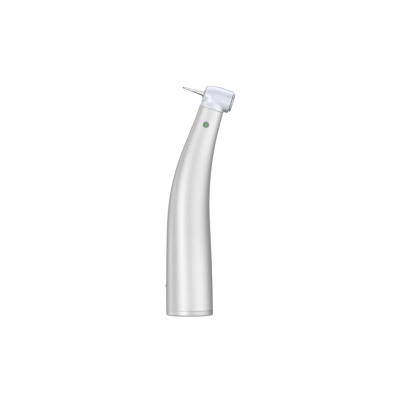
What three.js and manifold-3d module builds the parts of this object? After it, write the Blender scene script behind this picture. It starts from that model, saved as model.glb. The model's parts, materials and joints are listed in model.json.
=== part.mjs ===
// Contra-angle dental handpiece, 2:1 reduction, for 2.35 mm latch-length burs, with a push-button
// chuck, light rod and spray. Millimetres, +Z up along the grip axis. The part stands on its rear
// end, the end a micromotor nose plugs into. The origin is the bottom centre of the part's box,
// 4.58 mm from the grip axis because the head leans out to +X. The bur points to -X and a little up.
//
// Pieces are built in one of two frames. Grip frame: z along the grip axis from the rear end.
// Neck frame: origin in the head, x along the bur axis towards the button, z along the neck axis.
import * as THREE from "three";
import { mergeVertices } from "three/addons/utils/BufferGeometryUtils.js";
import Module from "manifold-3d";

const wasm = await Module();
wasm.setup();

// ---- driving dimensions ----------------------------------------------------------
const RAD = Math.PI / 180;
const BEND_DEG = 17.7; // neck axis against grip axis; the bur axis is square to the neck axis
const BEND = BEND_DEG * RAD;
const GRIP_X = -4.584; // the grip axis, from the middle of the part's box
const HEAD = [11.07, 0, 93.53]; // where bur axis and neck axis cross, in the grip frame
const RING_HEIGHT = 1.75; // rear ring
const SLEEVE_START = 1.95; // lower edge of the outer sleeve
const NECK_JOINT = -5.5; // joint between sleeve and head, neck z
const FACE_X = -5.07; // front face of the head, neck x
const RIM_X = 7.1; // rear rim of the head, neck x
const HEAD_RADIUS = 4.84; // largest head radius
const SHANK_RADIUS = 1.175; // bur shank
const BUR_TIP = -14.8;
const BUR_END = 6.65;
const APEX_GRIP = HEAD[2] - HEAD[0] / Math.tan(BEND); // grip axis meets neck axis, grip z
const APEX_NECK = -HEAD[0] / Math.sin(BEND); // the same point, neck z

// sleeve sections: centre x, centre z, outer radius, tilt in degrees
const STATIONS = [
  [0, SLEEVE_START, 10.15, 0], [-0.1, 12, 10.05, -0.5], [-0.22, 22, 9.9, -0.8],
  [-0.36, 31, 9.58, -0.6], [-0.43, 38, 9.31, 0], [-0.355, 44, 9.04, 1.8],
  [-0.02, 50, 8.65, 5.0], [0.71, 56, 8.21, 8.6], [1.79, 62, 7.62, 11.9],
  [3.2, 68, 6.94, 14.6], [4.88, 74, 6.3, 16.5], [6.72, 80, 5.77, 17.5],
  [9.398, 88.29, 5.33, BEND_DEG],
];
const SLEEVE_RADIUS = STATIONS[0][2];
const SLEEVE_SEGMENTS = 28;
const WALL_REAR = 0.8;
const WALL_FRONT = 0.62;
const WALL_TAPER_LENGTH = 88;

// bearings: inner race's two radii, outer race's two radii; width; number of balls
const HEAD_BEARING = { radii: [1.9, 2.2, 3.15, 3.5], width: 1.5, balls: 9 };
const NECK_BEARING = { radii: [1.0, 1.35, 2.3, 2.7], width: 1.8, balls: 7 };
const GRIP_BEARING = { radii: [1.5, 1.95, 3.05, 3.5], width: 2, balls: 7 };
const LARGE_SEAT = 3.56; // bore for the head and grip bearings
const NECK_SEAT = 2.76; // bore for the neck bearings

// straight bevel gears
const ADDENDUM = 0.8; // in modules
const DEDENDUM = 1.15;
const TOOTH_EDGES = [-0.285, -0.105, 0.105, 0.285]; // root, tip, tip, root, in tooth pitches
// cone angles and outer cone distance of a pair; the module is the one at the large end
function bevelPair({ driverTeeth, drivenTeeth, module, face, shaftAngle }) {
  const driverCone = Math.atan(
    Math.sin(shaftAngle) / (drivenTeeth / driverTeeth + Math.cos(shaftAngle)),
  );
  const distance = (module * driverTeeth) / 2 / Math.sin(driverCone);
  const shared = { module, face, distance };
  return {
    driver: { ...shared, teeth: driverTeeth, cone: driverCone },
    driven: { ...shared, teeth: drivenTeeth, cone: shaftAngle - driverCone },
  };
}
const BEND_PAIR = bevelPair({
  driverTeeth: 12, drivenTeeth: 16, module: 0.33, face: 2.0, shaftAngle: BEND,
});
const HEAD_PAIR = bevelPair({
  driverTeeth: 10, drivenTeeth: 15, module: 0.42, face: 1.1, shaftAngle: Math.PI / 2,
});

// ---- materials -------------------------------------------------------------------
const finish = ({ metalness = 1, ...rest }) =>
  new THREE.MeshStandardMaterial({ metalness, ...rest });
const MAT = {
  sleeve: finish({ name: "satin_sleeve", color: 0xdadbda, roughness: 0.34 }),
  head: finish({ name: "chrome_head", color: 0xe2e4ee, roughness: 0.22 }),
  button: finish({ name: "chrome_button", color: 0xc9cad0, roughness: 0.2 }),
  frame: finish({ name: "turned_steel", color: 0xb9bcc0, roughness: 0.4 }),
  brass: finish({ name: "brass", color: 0xc9a45a, roughness: 0.35 }),
  gear: finish({ name: "gear_steel", color: 0x8e9298, roughness: 0.35 }),
  race: finish({ name: "bearing_steel", color: 0xc4c7cc, roughness: 0.15 }),
  cage: finish({ name: "cage", color: 0xa7783f, roughness: 0.5, metalness: 0.2 }),
  bur: finish({ name: "bur_steel", color: 0xbfc2c6, roughness: 0.22 }),
  spring: finish({ name: "spring_steel", color: 0x9da0a6, roughness: 0.3 }),
  seal: finish({ name: "seal_rubber", color: 0x26282b, roughness: 0.7, metalness: 0 }),
  dot: finish({ name: "green_enamel", color: 0x4f9a55, roughness: 0.3, metalness: 0 }),
  glass: finish({ name: "optic_glass", color: 0xd8e6e4, roughness: 0.05, metalness: 0 }),
};

// ---- solids ----------------------------------------------------------------------
// a closed geometry as a solid, its faces turned outwards if its profile ran the other way
function solid(geometry) {
  const flat = geometry.index ? geometry.toNonIndexed() : geometry;
  const bare = new THREE.BufferGeometry().setAttribute("position", flat.getAttribute("position"));
  const merged = mergeVertices(bare, 1e-4);
  const corners = merged.index.array;
  const triangles = [];
  for (let i = 0; i < corners.length; i += 3) {
    const [a, b, c] = corners.subarray(i, i + 3);
    if (a !== b && b !== c && a !== c) triangles.push([a, b, c]);
  }
  const make = (list) =>
    new wasm.Manifold(
      new wasm.Mesh({
        numProp: 3,
        vertProperties: merged.attributes.position.array,
        triVerts: new Uint32Array(list.flat()),
      }),
    );
  const first = make(triangles);
  return first.volume() > 0 ? first : make(triangles.map(([a, b, c]) => [a, c, b]));
}
function geometryOf(shape) {
  const mesh = shape.getMesh();
  const stride = mesh.numProp;
  const positions = new Float32Array(mesh.numVert * 3);
  for (let i = 0; i < mesh.numVert; i++)
    positions.set(mesh.vertProperties.subarray(i * stride, i * stride + 3), i * 3);
  const geometry = new THREE.BufferGeometry()
    .setAttribute("position", new THREE.BufferAttribute(positions, 3))
    .setIndex(new THREE.BufferAttribute(new Uint32Array(mesh.triVerts), 1));
  geometry.computeVertexNormals();
  return geometry;
}

// Profile points are [radius, height]; the lathe turns about Z, or about X with along = "x".
// A profile that starts on the axis ends there too; any other is closed into a ring.
function lathe(profile, segments = 20, along = "z") {
  const points = profile.map(([radius, height]) => new THREE.Vector2(radius, height));
  if (profile[0][0] > 0) points.push(points[0].clone());
  const geometry = new THREE.LatheGeometry(points, segments);
  return solid(along === "z" ? geometry.rotateX(Math.PI / 2) : geometry.rotateZ(-Math.PI / 2));
}
const tube = (inner, outer, start, end, segments, along) =>
  lathe([[inner, start], [outer, start], [outer, end], [inner, end]], segments, along);
const rod = (radius, start, end, segments, along) =>
  lathe([[0, start], [radius, start], [radius, end], [0, end]], segments, along);
const rodY = (radius, length, segments) =>
  solid(new THREE.CylinderGeometry(radius, radius, length, segments)); // centred on the origin
const box = ([x0, x1], [y0, y1], [z0, z1]) =>
  solid(
    new THREE.BoxGeometry(x1 - x0, y1 - y0, z1 - z0)
      .translate((x0 + x1) / 2, (y0 + y1) / 2, (z0 + z1) / 2),
  );
const outlineShape = (outline) =>
  new THREE.Shape(outline.map(([x, y]) => new THREE.Vector2(x, y)));
const extrude = (outline, depth) =>
  solid(new THREE.ExtrudeGeometry(outlineShape(outline), { depth, bevelEnabled: false }));
// an outline of [y, z] points, extruded from x = start towards +X
const extrudeX = (outline, start, depth) =>
  extrude(outline, depth).transform([0, 1, 0, 0, 0, 0, 1, 0, 1, 0, 0, 0, start, 0, 0, 1]);
const circlePoints = (count, point) =>
  Array.from({ length: count }, (_, i) => point((i / count) * 2 * Math.PI));
const polar = (radius, degrees) => [radius * Math.cos(degrees * RAD), radius * Math.sin(degrees * RAD)];
const cut = (body, tools) => tools.reduce((rest, tool) => rest.subtract(tool), body);
const zToX = (shape) => shape.rotate([0, 90, 0]); // its +Z end goes to +X
const neckToGrip = (shape) => shape.rotate([0, BEND_DEG, 0]).translate(HEAD);

// the skin through a list of rings with equal point counts; a loop joins the last to the first
function ringSkin(list, loop = false) {
  const count = list[0].length;
  const indices = [];
  const bands = loop ? list.length : list.length - 1;
  for (let k = 0; k < bands; k++) {
    const here = k * count;
    const there = ((k + 1) % list.length) * count;
    for (let i = 0; i < count; i++) {
      const next = (i + 1) % count;
      indices.push(here + i, here + next, there + next, here + i, there + next, there + i);
    }
  }
  return { positions: list.flat(2), indices };
}
const skinSolid = ({ positions, indices }) =>
  solid(
    new THREE.BufferGeometry()
      .setAttribute("position", new THREE.Float32BufferAttribute(positions, 3))
      .setIndex(indices),
  );

// ---- sleeve sections ---------------------------------------------------------------
function sectionAt(z) {
  const [x, firstZ, radius, tilt] = STATIONS[0];
  if (z <= firstZ) return [x, z, radius, tilt];
  const above = STATIONS.findIndex((station) => z <= station[1]);
  const low = STATIONS[above - 1];
  const high = STATIONS[above];
  const fraction = (z - low[1]) / (high[1] - low[1]);
  return low.map((value, k) => (k === 1 ? z : value + fraction * (high[k] - value)));
}
// the grip-frame point at a distance and azimuth (radians) from a section's centre
function sectionPoint([x, z, , tilt], distance, azimuth) {
  const across = distance * Math.cos(azimuth);
  return [
    x + across * Math.cos(tilt * RAD),
    distance * Math.sin(azimuth),
    z - across * Math.sin(tilt * RAD),
  ];
}
const wallAt = (z) => WALL_REAR + ((WALL_FRONT - WALL_REAR) * z) / WALL_TAPER_LENGTH;
// a solid through the sections at the given levels, inset by gap(z) from the sleeve's outside
function loft(levels, gap, segments) {
  const sections = levels.map(sectionAt);
  const list = sections.map((section, k) =>
    circlePoints(segments, (a) => sectionPoint(section, section[2] - gap(levels[k]), a)),
  );
  const { positions, indices } = ringSkin(list);
  for (const k of [0, list.length - 1]) {
    const centre = positions.length / 3;
    positions.push(sections[k][0], 0, sections[k][1]);
    for (let i = 0; i < segments; i++) {
      const a = k * segments + i;
      const b = k * segments + ((i + 1) % segments);
      indices.push(...(k === 0 ? [centre, b, a] : [centre, a, b]));
    }
  }
  return skinSolid({ positions, indices });
}

// ---- light, water and air channels -------------------------------------------------
const ROUTE_LEVELS = [10.9, 18, 30, 42, 50, 58, 66, 73, 79]; // grip z
const CHANNEL_START = 7.4; // distance from the sleeve's centre in the coupling
const NECK_CHANNEL = 3.56; // distance from the neck axis
const TUBE_AZIMUTH = 62;
// A channel: distance and azimuth (degrees) from the sleeve's centre at each route level, then
// neck z of its last points; radius of the line itself and of its clearance bores.
const LIGHT_CHANNEL = {
  distances: [CHANNEL_START, CHANNEL_START, CHANNEL_START, 7.3, 6.75, 6.1, 5.2, 4.35, 3.62],
  azimuths: [140, 140, 140, 140, 142, 148, 160, 172, 180],
  neckLevels: [-11, -8, -4.95],
  radius: 0.6, couplingBore: 0.85, blockBore: 0.85, headBore: 0.75, headBoreEnd: -4.5,
};
const tubeChannel = (azimuth) => ({
  distances: [CHANNEL_START, CHANNEL_START, CHANNEL_START, 7.2, 6.6, 5.8, 4.9, 4.1, 3.6],
  azimuths: ROUTE_LEVELS.map(() => azimuth),
  neckLevels: [-11, -8.5, -6],
  radius: 0.45, couplingBore: 0.65, blockBore: 0.7, headBore: 0.62, headBoreEnd: -5.7,
});
const WATER_CHANNEL = tubeChannel(TUBE_AZIMUTH);
const AIR_CHANNEL = tubeChannel(-TUBE_AZIMUTH);
const CHANNELS = [LIGHT_CHANNEL, WATER_CHANNEL, AIR_CHANNEL];
const neckPlace = ({ azimuths }) => polar(NECK_CHANNEL, azimuths.at(-1));

// a round line of six sides swept along a channel's route, in the grip frame
function sweep(channel, radius) {
  const path = ROUTE_LEVELS.map((z, i) => {
    const azimuth = channel.azimuths[i] * RAD;
    return new THREE.Vector3(...sectionPoint(sectionAt(z), channel.distances[i], azimuth));
  });
  const [x, y] = neckPlace(channel);
  for (const z of channel.neckLevels)
    path.push(
      new THREE.Vector3(
        HEAD[0] + x * Math.cos(BEND) + z * Math.sin(BEND),
        y,
        HEAD[2] - x * Math.sin(BEND) + z * Math.cos(BEND),
      ),
    );
  const outline = circlePoints(6, (a) => [radius * Math.cos(a), radius * Math.sin(a)]);
  const extrudePath = new THREE.CatmullRomCurve3(path);
  const options = { steps: 16, bevelEnabled: false, extrudePath };
  return solid(new THREE.ExtrudeGeometry(outlineShape(outline), options));
}

// ---- gears and bearings ------------------------------------------------------------
// Straight bevel gear about Z, below its apex at the origin. The hub runs back to z = back,
// where its radius is backRadius; phase turns the teeth, in radians.
function bevelGear({ teeth, module, cone, distance, face }, { bore, back, backRadius, phase = 0 }) {
  const pitch = (2 * Math.PI) / teeth;
  const sin = Math.sin(cone);
  const cos = Math.cos(cone);
  const toothRing = (reach) => {
    const scale = reach / distance;
    const rise = ADDENDUM * module * scale;
    const depth = DEDENDUM * module * scale;
    const tip = [reach * sin + rise * cos, -(reach * cos - rise * sin)];
    const root = [reach * sin - depth * cos, -(reach * cos + depth * sin)];
    return Array.from({ length: 4 * teeth }, (_, i) => {
      const edge = i % 4;
      const angle = phase + (Math.floor(i / 4) + TOOTH_EDGES[edge]) * pitch;
      const [radius, z] = edge === 1 || edge === 2 ? tip : root;
      return [radius * Math.cos(angle), radius * Math.sin(angle), z];
    });
  };
  const outer = toothRing(distance);
  const inner = toothRing(distance - face);
  const circle = (radius, height) =>
    outer.map(([x, y]) => {
      const angle = Math.atan2(y, x);
      return [radius * Math.cos(angle), radius * Math.sin(angle), height];
    });
  const front = inner[0][2]; // root height at the small end
  const list = [circle(bore, front), inner, outer, circle(backRadius, back), circle(bore, back)];
  return skinSolid(ringSkin(list, true));
}
// balls, drawn as octahedra, joined by a thin cage ring
function ballSet(pitchRadius, ballRadius, count, middle) {
  const cage = tube(pitchRadius - 0.12, pitchRadius + 0.12, middle - 0.3, middle + 0.3, count * 2);
  const balls = circlePoints(count, (a) =>
    solid(
      new THREE.OctahedronGeometry(ballRadius, 0)
        .rotateZ(a)
        .translate(pitchRadius * Math.cos(a), pitchRadius * Math.sin(a), middle),
    ),
  );
  return balls.reduce((joined, ball) => joined.add(ball), cage);
}
function putBearing(group, name, { radii, width, balls }, start, along = "z") {
  const [bore, innerRim, outerRim, outside] = radii;
  const end = start + width;
  const set = ballSet(
    (innerRim + outerRim) / 2, (outerRim - innerRim) / 2 - 0.05, balls, (start + end) / 2,
  );
  const place = (shape) => (along === "x" ? zToX(shape) : shape);
  put(group, `${name}_inner_race`, place(tube(bore, innerRim, start, end, 16)), MAT.race);
  put(group, `${name}_outer_race`, place(tube(outerRim, outside, start, end, 20)), MAT.race);
  put(group, `${name}_ball_set`, place(set), MAT.cage);
}

// ---- scene graph -------------------------------------------------------------------
const part = new THREE.Group();
const grip = new THREE.Group();
grip.position.x = GRIP_X;
part.add(grip);
const neck = new THREE.Group();
neck.position.set(...HEAD);
neck.rotation.y = BEND;
grip.add(neck);
function put(group, name, shape, material) {
  const mesh = new THREE.Mesh(geometryOf(shape), material);
  mesh.name = name;
  group.add(mesh);
}

// ---- sleeve, dot and rear ring -------------------------------------------------------
const DOT_RADIUS = 1.28;
const DOT_X = -0.2;
const DOT_Z = -12.6; // neck frame, on the -Y side
const PIN_Z = 12.55;
const PIN_RADIUS = 0.76;
const pinHole = rod(PIN_RADIUS + 0.07, -12, -7.9, 10, "x").translate([0, 0, PIN_Z]);
const stationLevels = STATIONS.map((station) => station[1]);
const sleeveBody = loft(stationLevels, () => 0, SLEEVE_SEGMENTS);

function outerSleeve() {
  const frontRadius = STATIONS.at(-1)[2] - WALL_FRONT;
  return cut(sleeveBody, [
    loft([0, ...stationLevels.slice(1)], wallAt, SLEEVE_SEGMENTS),
    neckToGrip(rod(frontRadius, -6.5, 2, SLEEVE_SEGMENTS)), // opens the front end
    neckToGrip(rodY(DOT_RADIUS + 0.05, 6, 12).translate([DOT_X, -6.2, DOT_Z])),
    pinHole,
  ]);
}
const colourDot = () =>
  neckToGrip(rodY(DOT_RADIUS, 1.6, 12).translate([DOT_X, -5.9, DOT_Z])).intersect(sleeveBody);
// a stepped ring, with a groove for the O-ring in its front face
const rearRing = () =>
  lathe([
    [8.2, 0], [10, 0], [SLEEVE_RADIUS, 0.15], [SLEEVE_RADIUS, 1.87], [9.85, 1.87], [9.85, 1.45],
    [9.4, 1.45], [9.4, RING_HEIGHT], [8.2, RING_HEIGHT],
  ], SLEEVE_SEGMENTS);

put(grip, "outer_sleeve", outerSleeve(), MAT.sleeve);
put(grip, "colour_dot", colourDot(), MAT.dot);
put(grip, "rear_ring", rearRing(), MAT.sleeve);
put(grip, "rear_o_ring", tube(9.43, 9.82, 1.48, 1.91, 28), MAT.seal);

// ---- coupling and gear block ---------------------------------------------------------
// the socket the motor nose plugs into, its end wall and the rear bearing's boss
function couplingSleeve() {
  const body = lathe([
    [8.05, 1.85], [9.05, 1.85], [9.05, 11.4], [8.4, 12], [8.4, 27], [5.02, 27], [5.02, 30.2],
    [LARGE_SEAT, 30.2], [LARGE_SEAT, 29.75], [4.1, 29.75], [4.1, 29.1], [LARGE_SEAT, 29.1],
    [LARGE_SEAT, 26.95], [2.8, 26.95], [2.8, 24], [6.5, 24], [6.5, 14.1], [7.0, 13.9],
    [7.0, 13.0], [6.5, 12.8], [6.5, 9.6], [8.05, 8],
  ], 24);
  const [centreX] = sectionAt(18);
  const bores = CHANNELS.map(({ couplingBore, azimuths }) => {
    const [x, y] = polar(CHANNEL_START, azimuths[0]);
    return rod(couplingBore, 10.4, 32, 8).translate([centreX + x, y, 0]);
  });
  return cut(body, [...bores, pinHole]);
}
// keys sleeve and coupling together; its wedge-shaped head stands proud of the sleeve at -X
function locatingPin() {
  const wedge = [ // z, -x
    [11.55, 9.95], [13.6, 9.95], [13.55, 10.16], [12.05, 10.62], [11.75, 10.55], [11.6, 10.2],
  ];
  const head = extrude(wedge, 2)
    .translate([0, 0, -1])
    .transform([0, 0, 1, 0, -1, 0, 0, 0, 0, 1, 0, 0, 0, 0, 0, 1])
    .intersect(box([-10.7, -10.18], [-0.95, 0.95], [11.5, 13.7]));
  return rod(PIN_RADIUS, -10.3, -8.0, 10, "x").translate([0, 0, PIN_Z]).add(head);
}

const SCREW_X = -0.3;
const SCREW_Z = 28.7;
const LOWER_SEAT_START = -46.4; // neck z
// carries the drive shaft's front bearing, the front shaft's lower bearing and the gear chamber
function gearBlock() {
  const body = loft([27.2, 34, 40, 46, 51, 56], (z) => wallAt(z) + 0.3, 24);
  return cut(body.intersect(neckToGrip(rod(30, -90, -42.5, 8))), [
    rod(5.12, 26, 30.35, 24), // pocket for the coupling's boss
    rod(2.35, 29, 38.1, 16), // drive shaft passage
    rod(LARGE_SEAT, 37.95, 41, 20), // drive shaft's front bearing
    rod(2.75, 40.5, 47.2, 16), // drive pinion
    neckToGrip(rod(3.3, APEX_NECK - 16.3, APEX_NECK - 12.2, 20)), // driven gear
    neckToGrip(rod(2.3, APEX_NECK - 12.6, LOWER_SEAT_START, 16)), // front shaft passage
    neckToGrip(rod(NECK_SEAT, LOWER_SEAT_START, -40, 20)), // front shaft's lower bearing
    ...CHANNELS.map((channel) => sweep(channel, channel.blockBore)),
    rodY(0.85, 40, 8).translate([SCREW_X, 0, SCREW_Z]),
  ]);
}
// a socket-headed screw on the +Y side, turned about the grip axis's X direction
const blockScrew = (turn) =>
  rodY(PIN_RADIUS, 3.0, 8)
    .subtract(rodY(0.4, 1.2, 6).translate([0, 1.6, 0]))
    .translate([0, 6.75, 0])
    .rotate([turn, 0, 0])
    .translate([SCREW_X, 0, SCREW_Z]);
const rearCirclip = () =>
  tube(3.05, 3.95, 29.15, 29.7, 24).subtract(box([2, 5], [-1.1, 1.1], [28, 31]));

put(grip, "coupling_sleeve", couplingSleeve(), MAT.frame);
put(grip, "locating_pin", locatingPin(), MAT.head);
put(grip, "gear_block", gearBlock(), MAT.frame);
put(grip, "block_screw_left", blockScrew(180), MAT.gear);
put(grip, "block_screw_right", blockScrew(0), MAT.gear);
put(grip, "rear_circlip", rearCirclip(), MAT.spring);
put(grip, "light_rod", sweep(LIGHT_CHANNEL, LIGHT_CHANNEL.radius), MAT.glass);
put(grip, "water_tube", sweep(WATER_CHANNEL, WATER_CHANNEL.radius), MAT.frame);
put(grip, "air_tube", sweep(AIR_CHANNEL, AIR_CHANNEL.radius), MAT.frame);

// ---- head housing --------------------------------------------------------------------
function headHousing() {
  const barrel = lathe([
    [0, FACE_X], [3.18, FACE_X], [3.52, -4.9], [3.95, -4.2], [4.36, -3.1], [4.63, -2],
    [4.79, -0.9], [HEAD_RADIUS, 0.6], [HEAD_RADIUS, RIM_X - 0.25], [4.6, RIM_X], [0, RIM_X],
  ], 28, "x");
  const shoulder = lathe([
    [0, NECK_JOINT], [5.3, NECK_JOINT], [5.25, -4.4], [5.06, -3.6], [4.8, -1.6], [4.2, -0.6],
    [0, -0.6],
  ], 28);
  const collarTop = NECK_JOINT + 0.1;
  // fits inside the sleeve; grooved for the O-ring
  const collar = lathe([
    [0, -11], [4.55, -11], [4.55, -8.6], [4.16, -8.5], [4.16, -7.9], [4.55, -7.8],
    [4.55, collarTop], [0, collarTop],
  ], 28);
  return cut(barrel.add(shoulder).add(collar), [
    rod(LARGE_SEAT, -4.4, 8, 20, "x"),
    rod(4.16, 4.85, 8, 24, "x"), // cap ring and button
    rod(2.05, -8, -4, 20, "x"), // spindle nose
    rod(3.0, -8, -4.72, 20, "x"), // spray ring
    rod(NECK_SEAT, -20, 0, 20),
    box([-6, -2.9], [-0.95, 0.95], [-4.75, -3.72]), // light window
    ...CHANNELS.map((channel) =>
      rod(channel.headBore, -12, channel.headBoreEnd, 8).translate([...neckPlace(channel), 0]),
    ),
  ]);
}
function lightWindow() {
  const outline = [ // y, z
    [-0.6, -4.7], [0.6, -4.7], [0.88, -4.4], [0.88, -4.05],
    [0.6, -3.78], [-0.6, -3.78], [-0.88, -4.05], [-0.88, -4.4],
  ];
  return extrudeX(outline, -4.98, 1.9);
}
const sprayRing = () =>
  cut(
    tube(2.08, 2.96, FACE_X, -4.76, 20, "x"),
    [45, 135, 225, 315].map((azimuth) =>
      rod(0.16, -8, -4, 6, "x").translate([0, ...polar(2.5, azimuth)]),
    ),
  );
const headCapRing = () =>
  lathe([
    [3.35, 4.9], [4.12, 4.9], [4.12, 6.5], [3.44, 6.5], [3.44, 6.08], [3.74, 6.08],
    [3.74, 5.02], [3.35, 5.02],
  ], 24, "x");

put(neck, "head_housing", headHousing(), MAT.head);
put(neck, "sleeve_o_ring", tube(4.2, 4.52, -8.42, -7.98, 28), MAT.seal);
put(neck, "light_window", lightWindow(), MAT.glass);
put(neck, "spray_ring", sprayRing(), MAT.frame);
put(neck, "head_cap_ring", headCapRing(), MAT.head);
put(neck, "front_tube", tube(1.5, 2.7, -44.2, -7.5, 20), MAT.frame);

// ---- button --------------------------------------------------------------------------
const pushButton = () =>
  lathe([
    [0, 8.08], [3.1, 8.06], [3.7, 7.97], [3.95, 7.85], [4.03, 7.7], [4.03, 7.2], [3.39, 7.2],
    [3.39, 6.02], [3.66, 6.0], [3.66, 5.7], [2.98, 5.7], [2.98, 7.35], [2.6, 7.6], [0, 7.6],
  ], 24, "x");
const releaseCone = () =>
  lathe([
    [1.3, 7.57], [2.3, 7.57], [2.3, 7.3], [1.9, 7.2], [1.9, 6.9], [1.42, 5.95], [1.3, 5.95],
  ], 16, "x");
// a flat washer with three waves
function buttonSpring() {
  const edge = (radius, x) =>
    circlePoints(24, (a) => [x + 0.2 * Math.sin(3 * a), radius * Math.cos(a), radius * Math.sin(a)]);
  const list = [edge(3.1, 5.29), edge(3.6, 5.29), edge(3.6, 5.41), edge(3.1, 5.41)];
  return skinSolid(ringSkin(list, true));
}

put(neck, "push_button", pushButton(), MAT.button);
put(neck, "release_cone", releaseCone(), MAT.brass);
put(neck, "button_spring", buttonSpring(), MAT.spring);

// ---- chuck and bur -------------------------------------------------------------------
const chuckSpindle = () =>
  lathe([
    [1.22, -5.45], [1.62, -5.45], [1.75, -5.3], [1.75, -4.4], [1.85, -4.38], [1.85, 4.8],
    [1.22, 4.8],
  ], 20, "x");
// turned over so that it lies at +X, with its teeth towards the front pinion
const headGear = () =>
  zToX(
    bevelGear(HEAD_PAIR.driven, { bore: 1.92, back: -3.2, backRadius: 3.0 }).rotate([180, 0, 0]),
  );
function jawCarrier() {
  const driveHole = rod(1.23, 4.8, 5.3, 16, "x").intersect(box([4, 6], [-2, 0.72], [-2, 2]));
  const jawSlot = box([5.18, 6], [-0.88, 0.88], [-4, 4]).intersect(rod(2.52, 5, 7, 24, "x"));
  return cut(rod(2.72, 4.87, 5.88, 24, "x"), [rod(1.78, 5.3, 6, 16, "x"), driveHole, jawSlot]);
}
const chuckJaw = () =>
  lathe([
    [1.2, 5.22], [2.15, 5.22], [2.15, 5.86], [1.48, 5.86], [1.24, 5.4], [1.2, 5.36],
  ], 24, "x").intersect(box([5, 6], [-0.84, 0.84], [0.5, 3]));
// a bowed leaf between a jaw and the carrier's wall
function jawSpring() {
  const outline = [ // y, z
    [-0.62, 2.2], [-0.62, 2.28], [-0.3, 2.41], [0, 2.46], [0.3, 2.41],
    [0.62, 2.28], [0.62, 2.2], [0.3, 2.33], [0, 2.38], [-0.3, 2.33],
  ];
  return extrudeX(outline, 5.3, 0.45);
}
// tapered, on a shank with latch groove and drive flat
const bur = () =>
  lathe([
    [0, BUR_TIP], [0.22, BUR_TIP + 0.04], [0.36, BUR_TIP + 0.3], [0.93, -6.35], [1.0, -5.95],
    [SHANK_RADIUS, -5.6], [SHANK_RADIUS, 3.95], [0.85, 4.0], [0.85, 4.7], [SHANK_RADIUS, 4.75],
    [SHANK_RADIUS, 6.45], [1.0, BUR_END], [0, BUR_END],
  ], 20, "x").subtract(box([2.6, 8], [0.64, 3], [-3, 3]));

put(neck, "chuck_spindle", chuckSpindle(), MAT.frame);
put(neck, "head_gear", headGear(), MAT.gear);
put(neck, "jaw_carrier", jawCarrier(), MAT.frame);
for (const [side, turn] of [["upper", 0], ["lower", 180]]) {
  put(neck, `chuck_jaw_${side}`, chuckJaw().rotate([turn, 0, 0]), MAT.gear);
  put(neck, `jaw_spring_${side}`, jawSpring().rotate([turn, 0, 0]), MAT.spring);
}
put(neck, "bur", bur(), MAT.bur);

// ---- shafts --------------------------------------------------------------------------
const driveShaft = () =>
  lathe([
    [0, 17.4], [1.2, 17.4], [1.48, 17.7], [1.48, 42.2], [0.98, 42.3], [0.98, 46.2], [0, 46.2],
  ], 16);
// a cup on the shaft's rear end, slotted across
const driveDog = () =>
  tube(1.53, 2.3, 14.5, 20.5, 16)
    .add(rod(2.3, 17.0, 17.3, 16))
    .subtract(box([-3, 3], [-0.85, 0.85], [13, 16.8]));
const frontShaft = () =>
  lathe([
    [0, APEX_NECK - 15.9], [0.9, APEX_NECK - 15.9], [0.98, APEX_NECK - 15.8], [0.98, -44.45],
    [1.25, -44.4], [1.25, -7.4], [0.98, -7.35], [0.98, -5.3], [0.72, -5.2], [0.72, -2.45],
    [0, -2.45],
  ], 16);
// a gear of the bend pair, its hub reaching hubLength behind the large end of the pitch cone
const bendGear = (gear, hubLength, backRadius, phase) => {
  const back = -(gear.distance * Math.cos(gear.cone) + hubLength);
  return bevelGear(gear, { bore: 1.02, back, backRadius, phase });
};
const halfPitch = ({ teeth }) => Math.PI / teeth;
const drivePinion = () => bendGear(BEND_PAIR.driver, 0.9, 1.5, 0).translate([0, 0, APEX_GRIP]);
const drivenGear = () =>
  bendGear(BEND_PAIR.driven, 0.7, 2.1, halfPitch(BEND_PAIR.driven)).translate([0, 0, APEX_NECK]);
const frontPinion = () => {
  const phase = halfPitch(HEAD_PAIR.driver);
  return bevelGear(HEAD_PAIR.driver, { bore: 0.75, back: -5.15, backRadius: 1.5, phase });
};

put(grip, "drive_shaft", driveShaft(), MAT.gear);
put(grip, "drive_dog", driveDog(), MAT.frame);
put(grip, "shaft_spacer", tube(1.53, 2.05, 29.1, 37.9, 16), MAT.brass);
put(grip, "drive_pinion", drivePinion(), MAT.gear);
put(neck, "front_shaft", frontShaft(), MAT.gear);
put(neck, "driven_gear", drivenGear(), MAT.gear);
put(neck, "front_pinion", frontPinion(), MAT.gear);

// ---- bearings: each from its lower or front end ----------------------------------------
putBearing(neck, "head_front_bearing", HEAD_BEARING, -4.36, "x");
putBearing(neck, "head_rear_bearing", HEAD_BEARING, 3.3, "x");
putBearing(neck, "front_shaft_upper_bearing", NECK_BEARING, -7.3);
putBearing(neck, "front_shaft_lower_bearing", NECK_BEARING, -46.3);
putBearing(grip, "drive_shaft_front_bearing", GRIP_BEARING, 38);
putBearing(grip, "drive_shaft_rear_bearing", GRIP_BEARING, 27);

export default part;
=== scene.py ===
import json
import math

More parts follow.
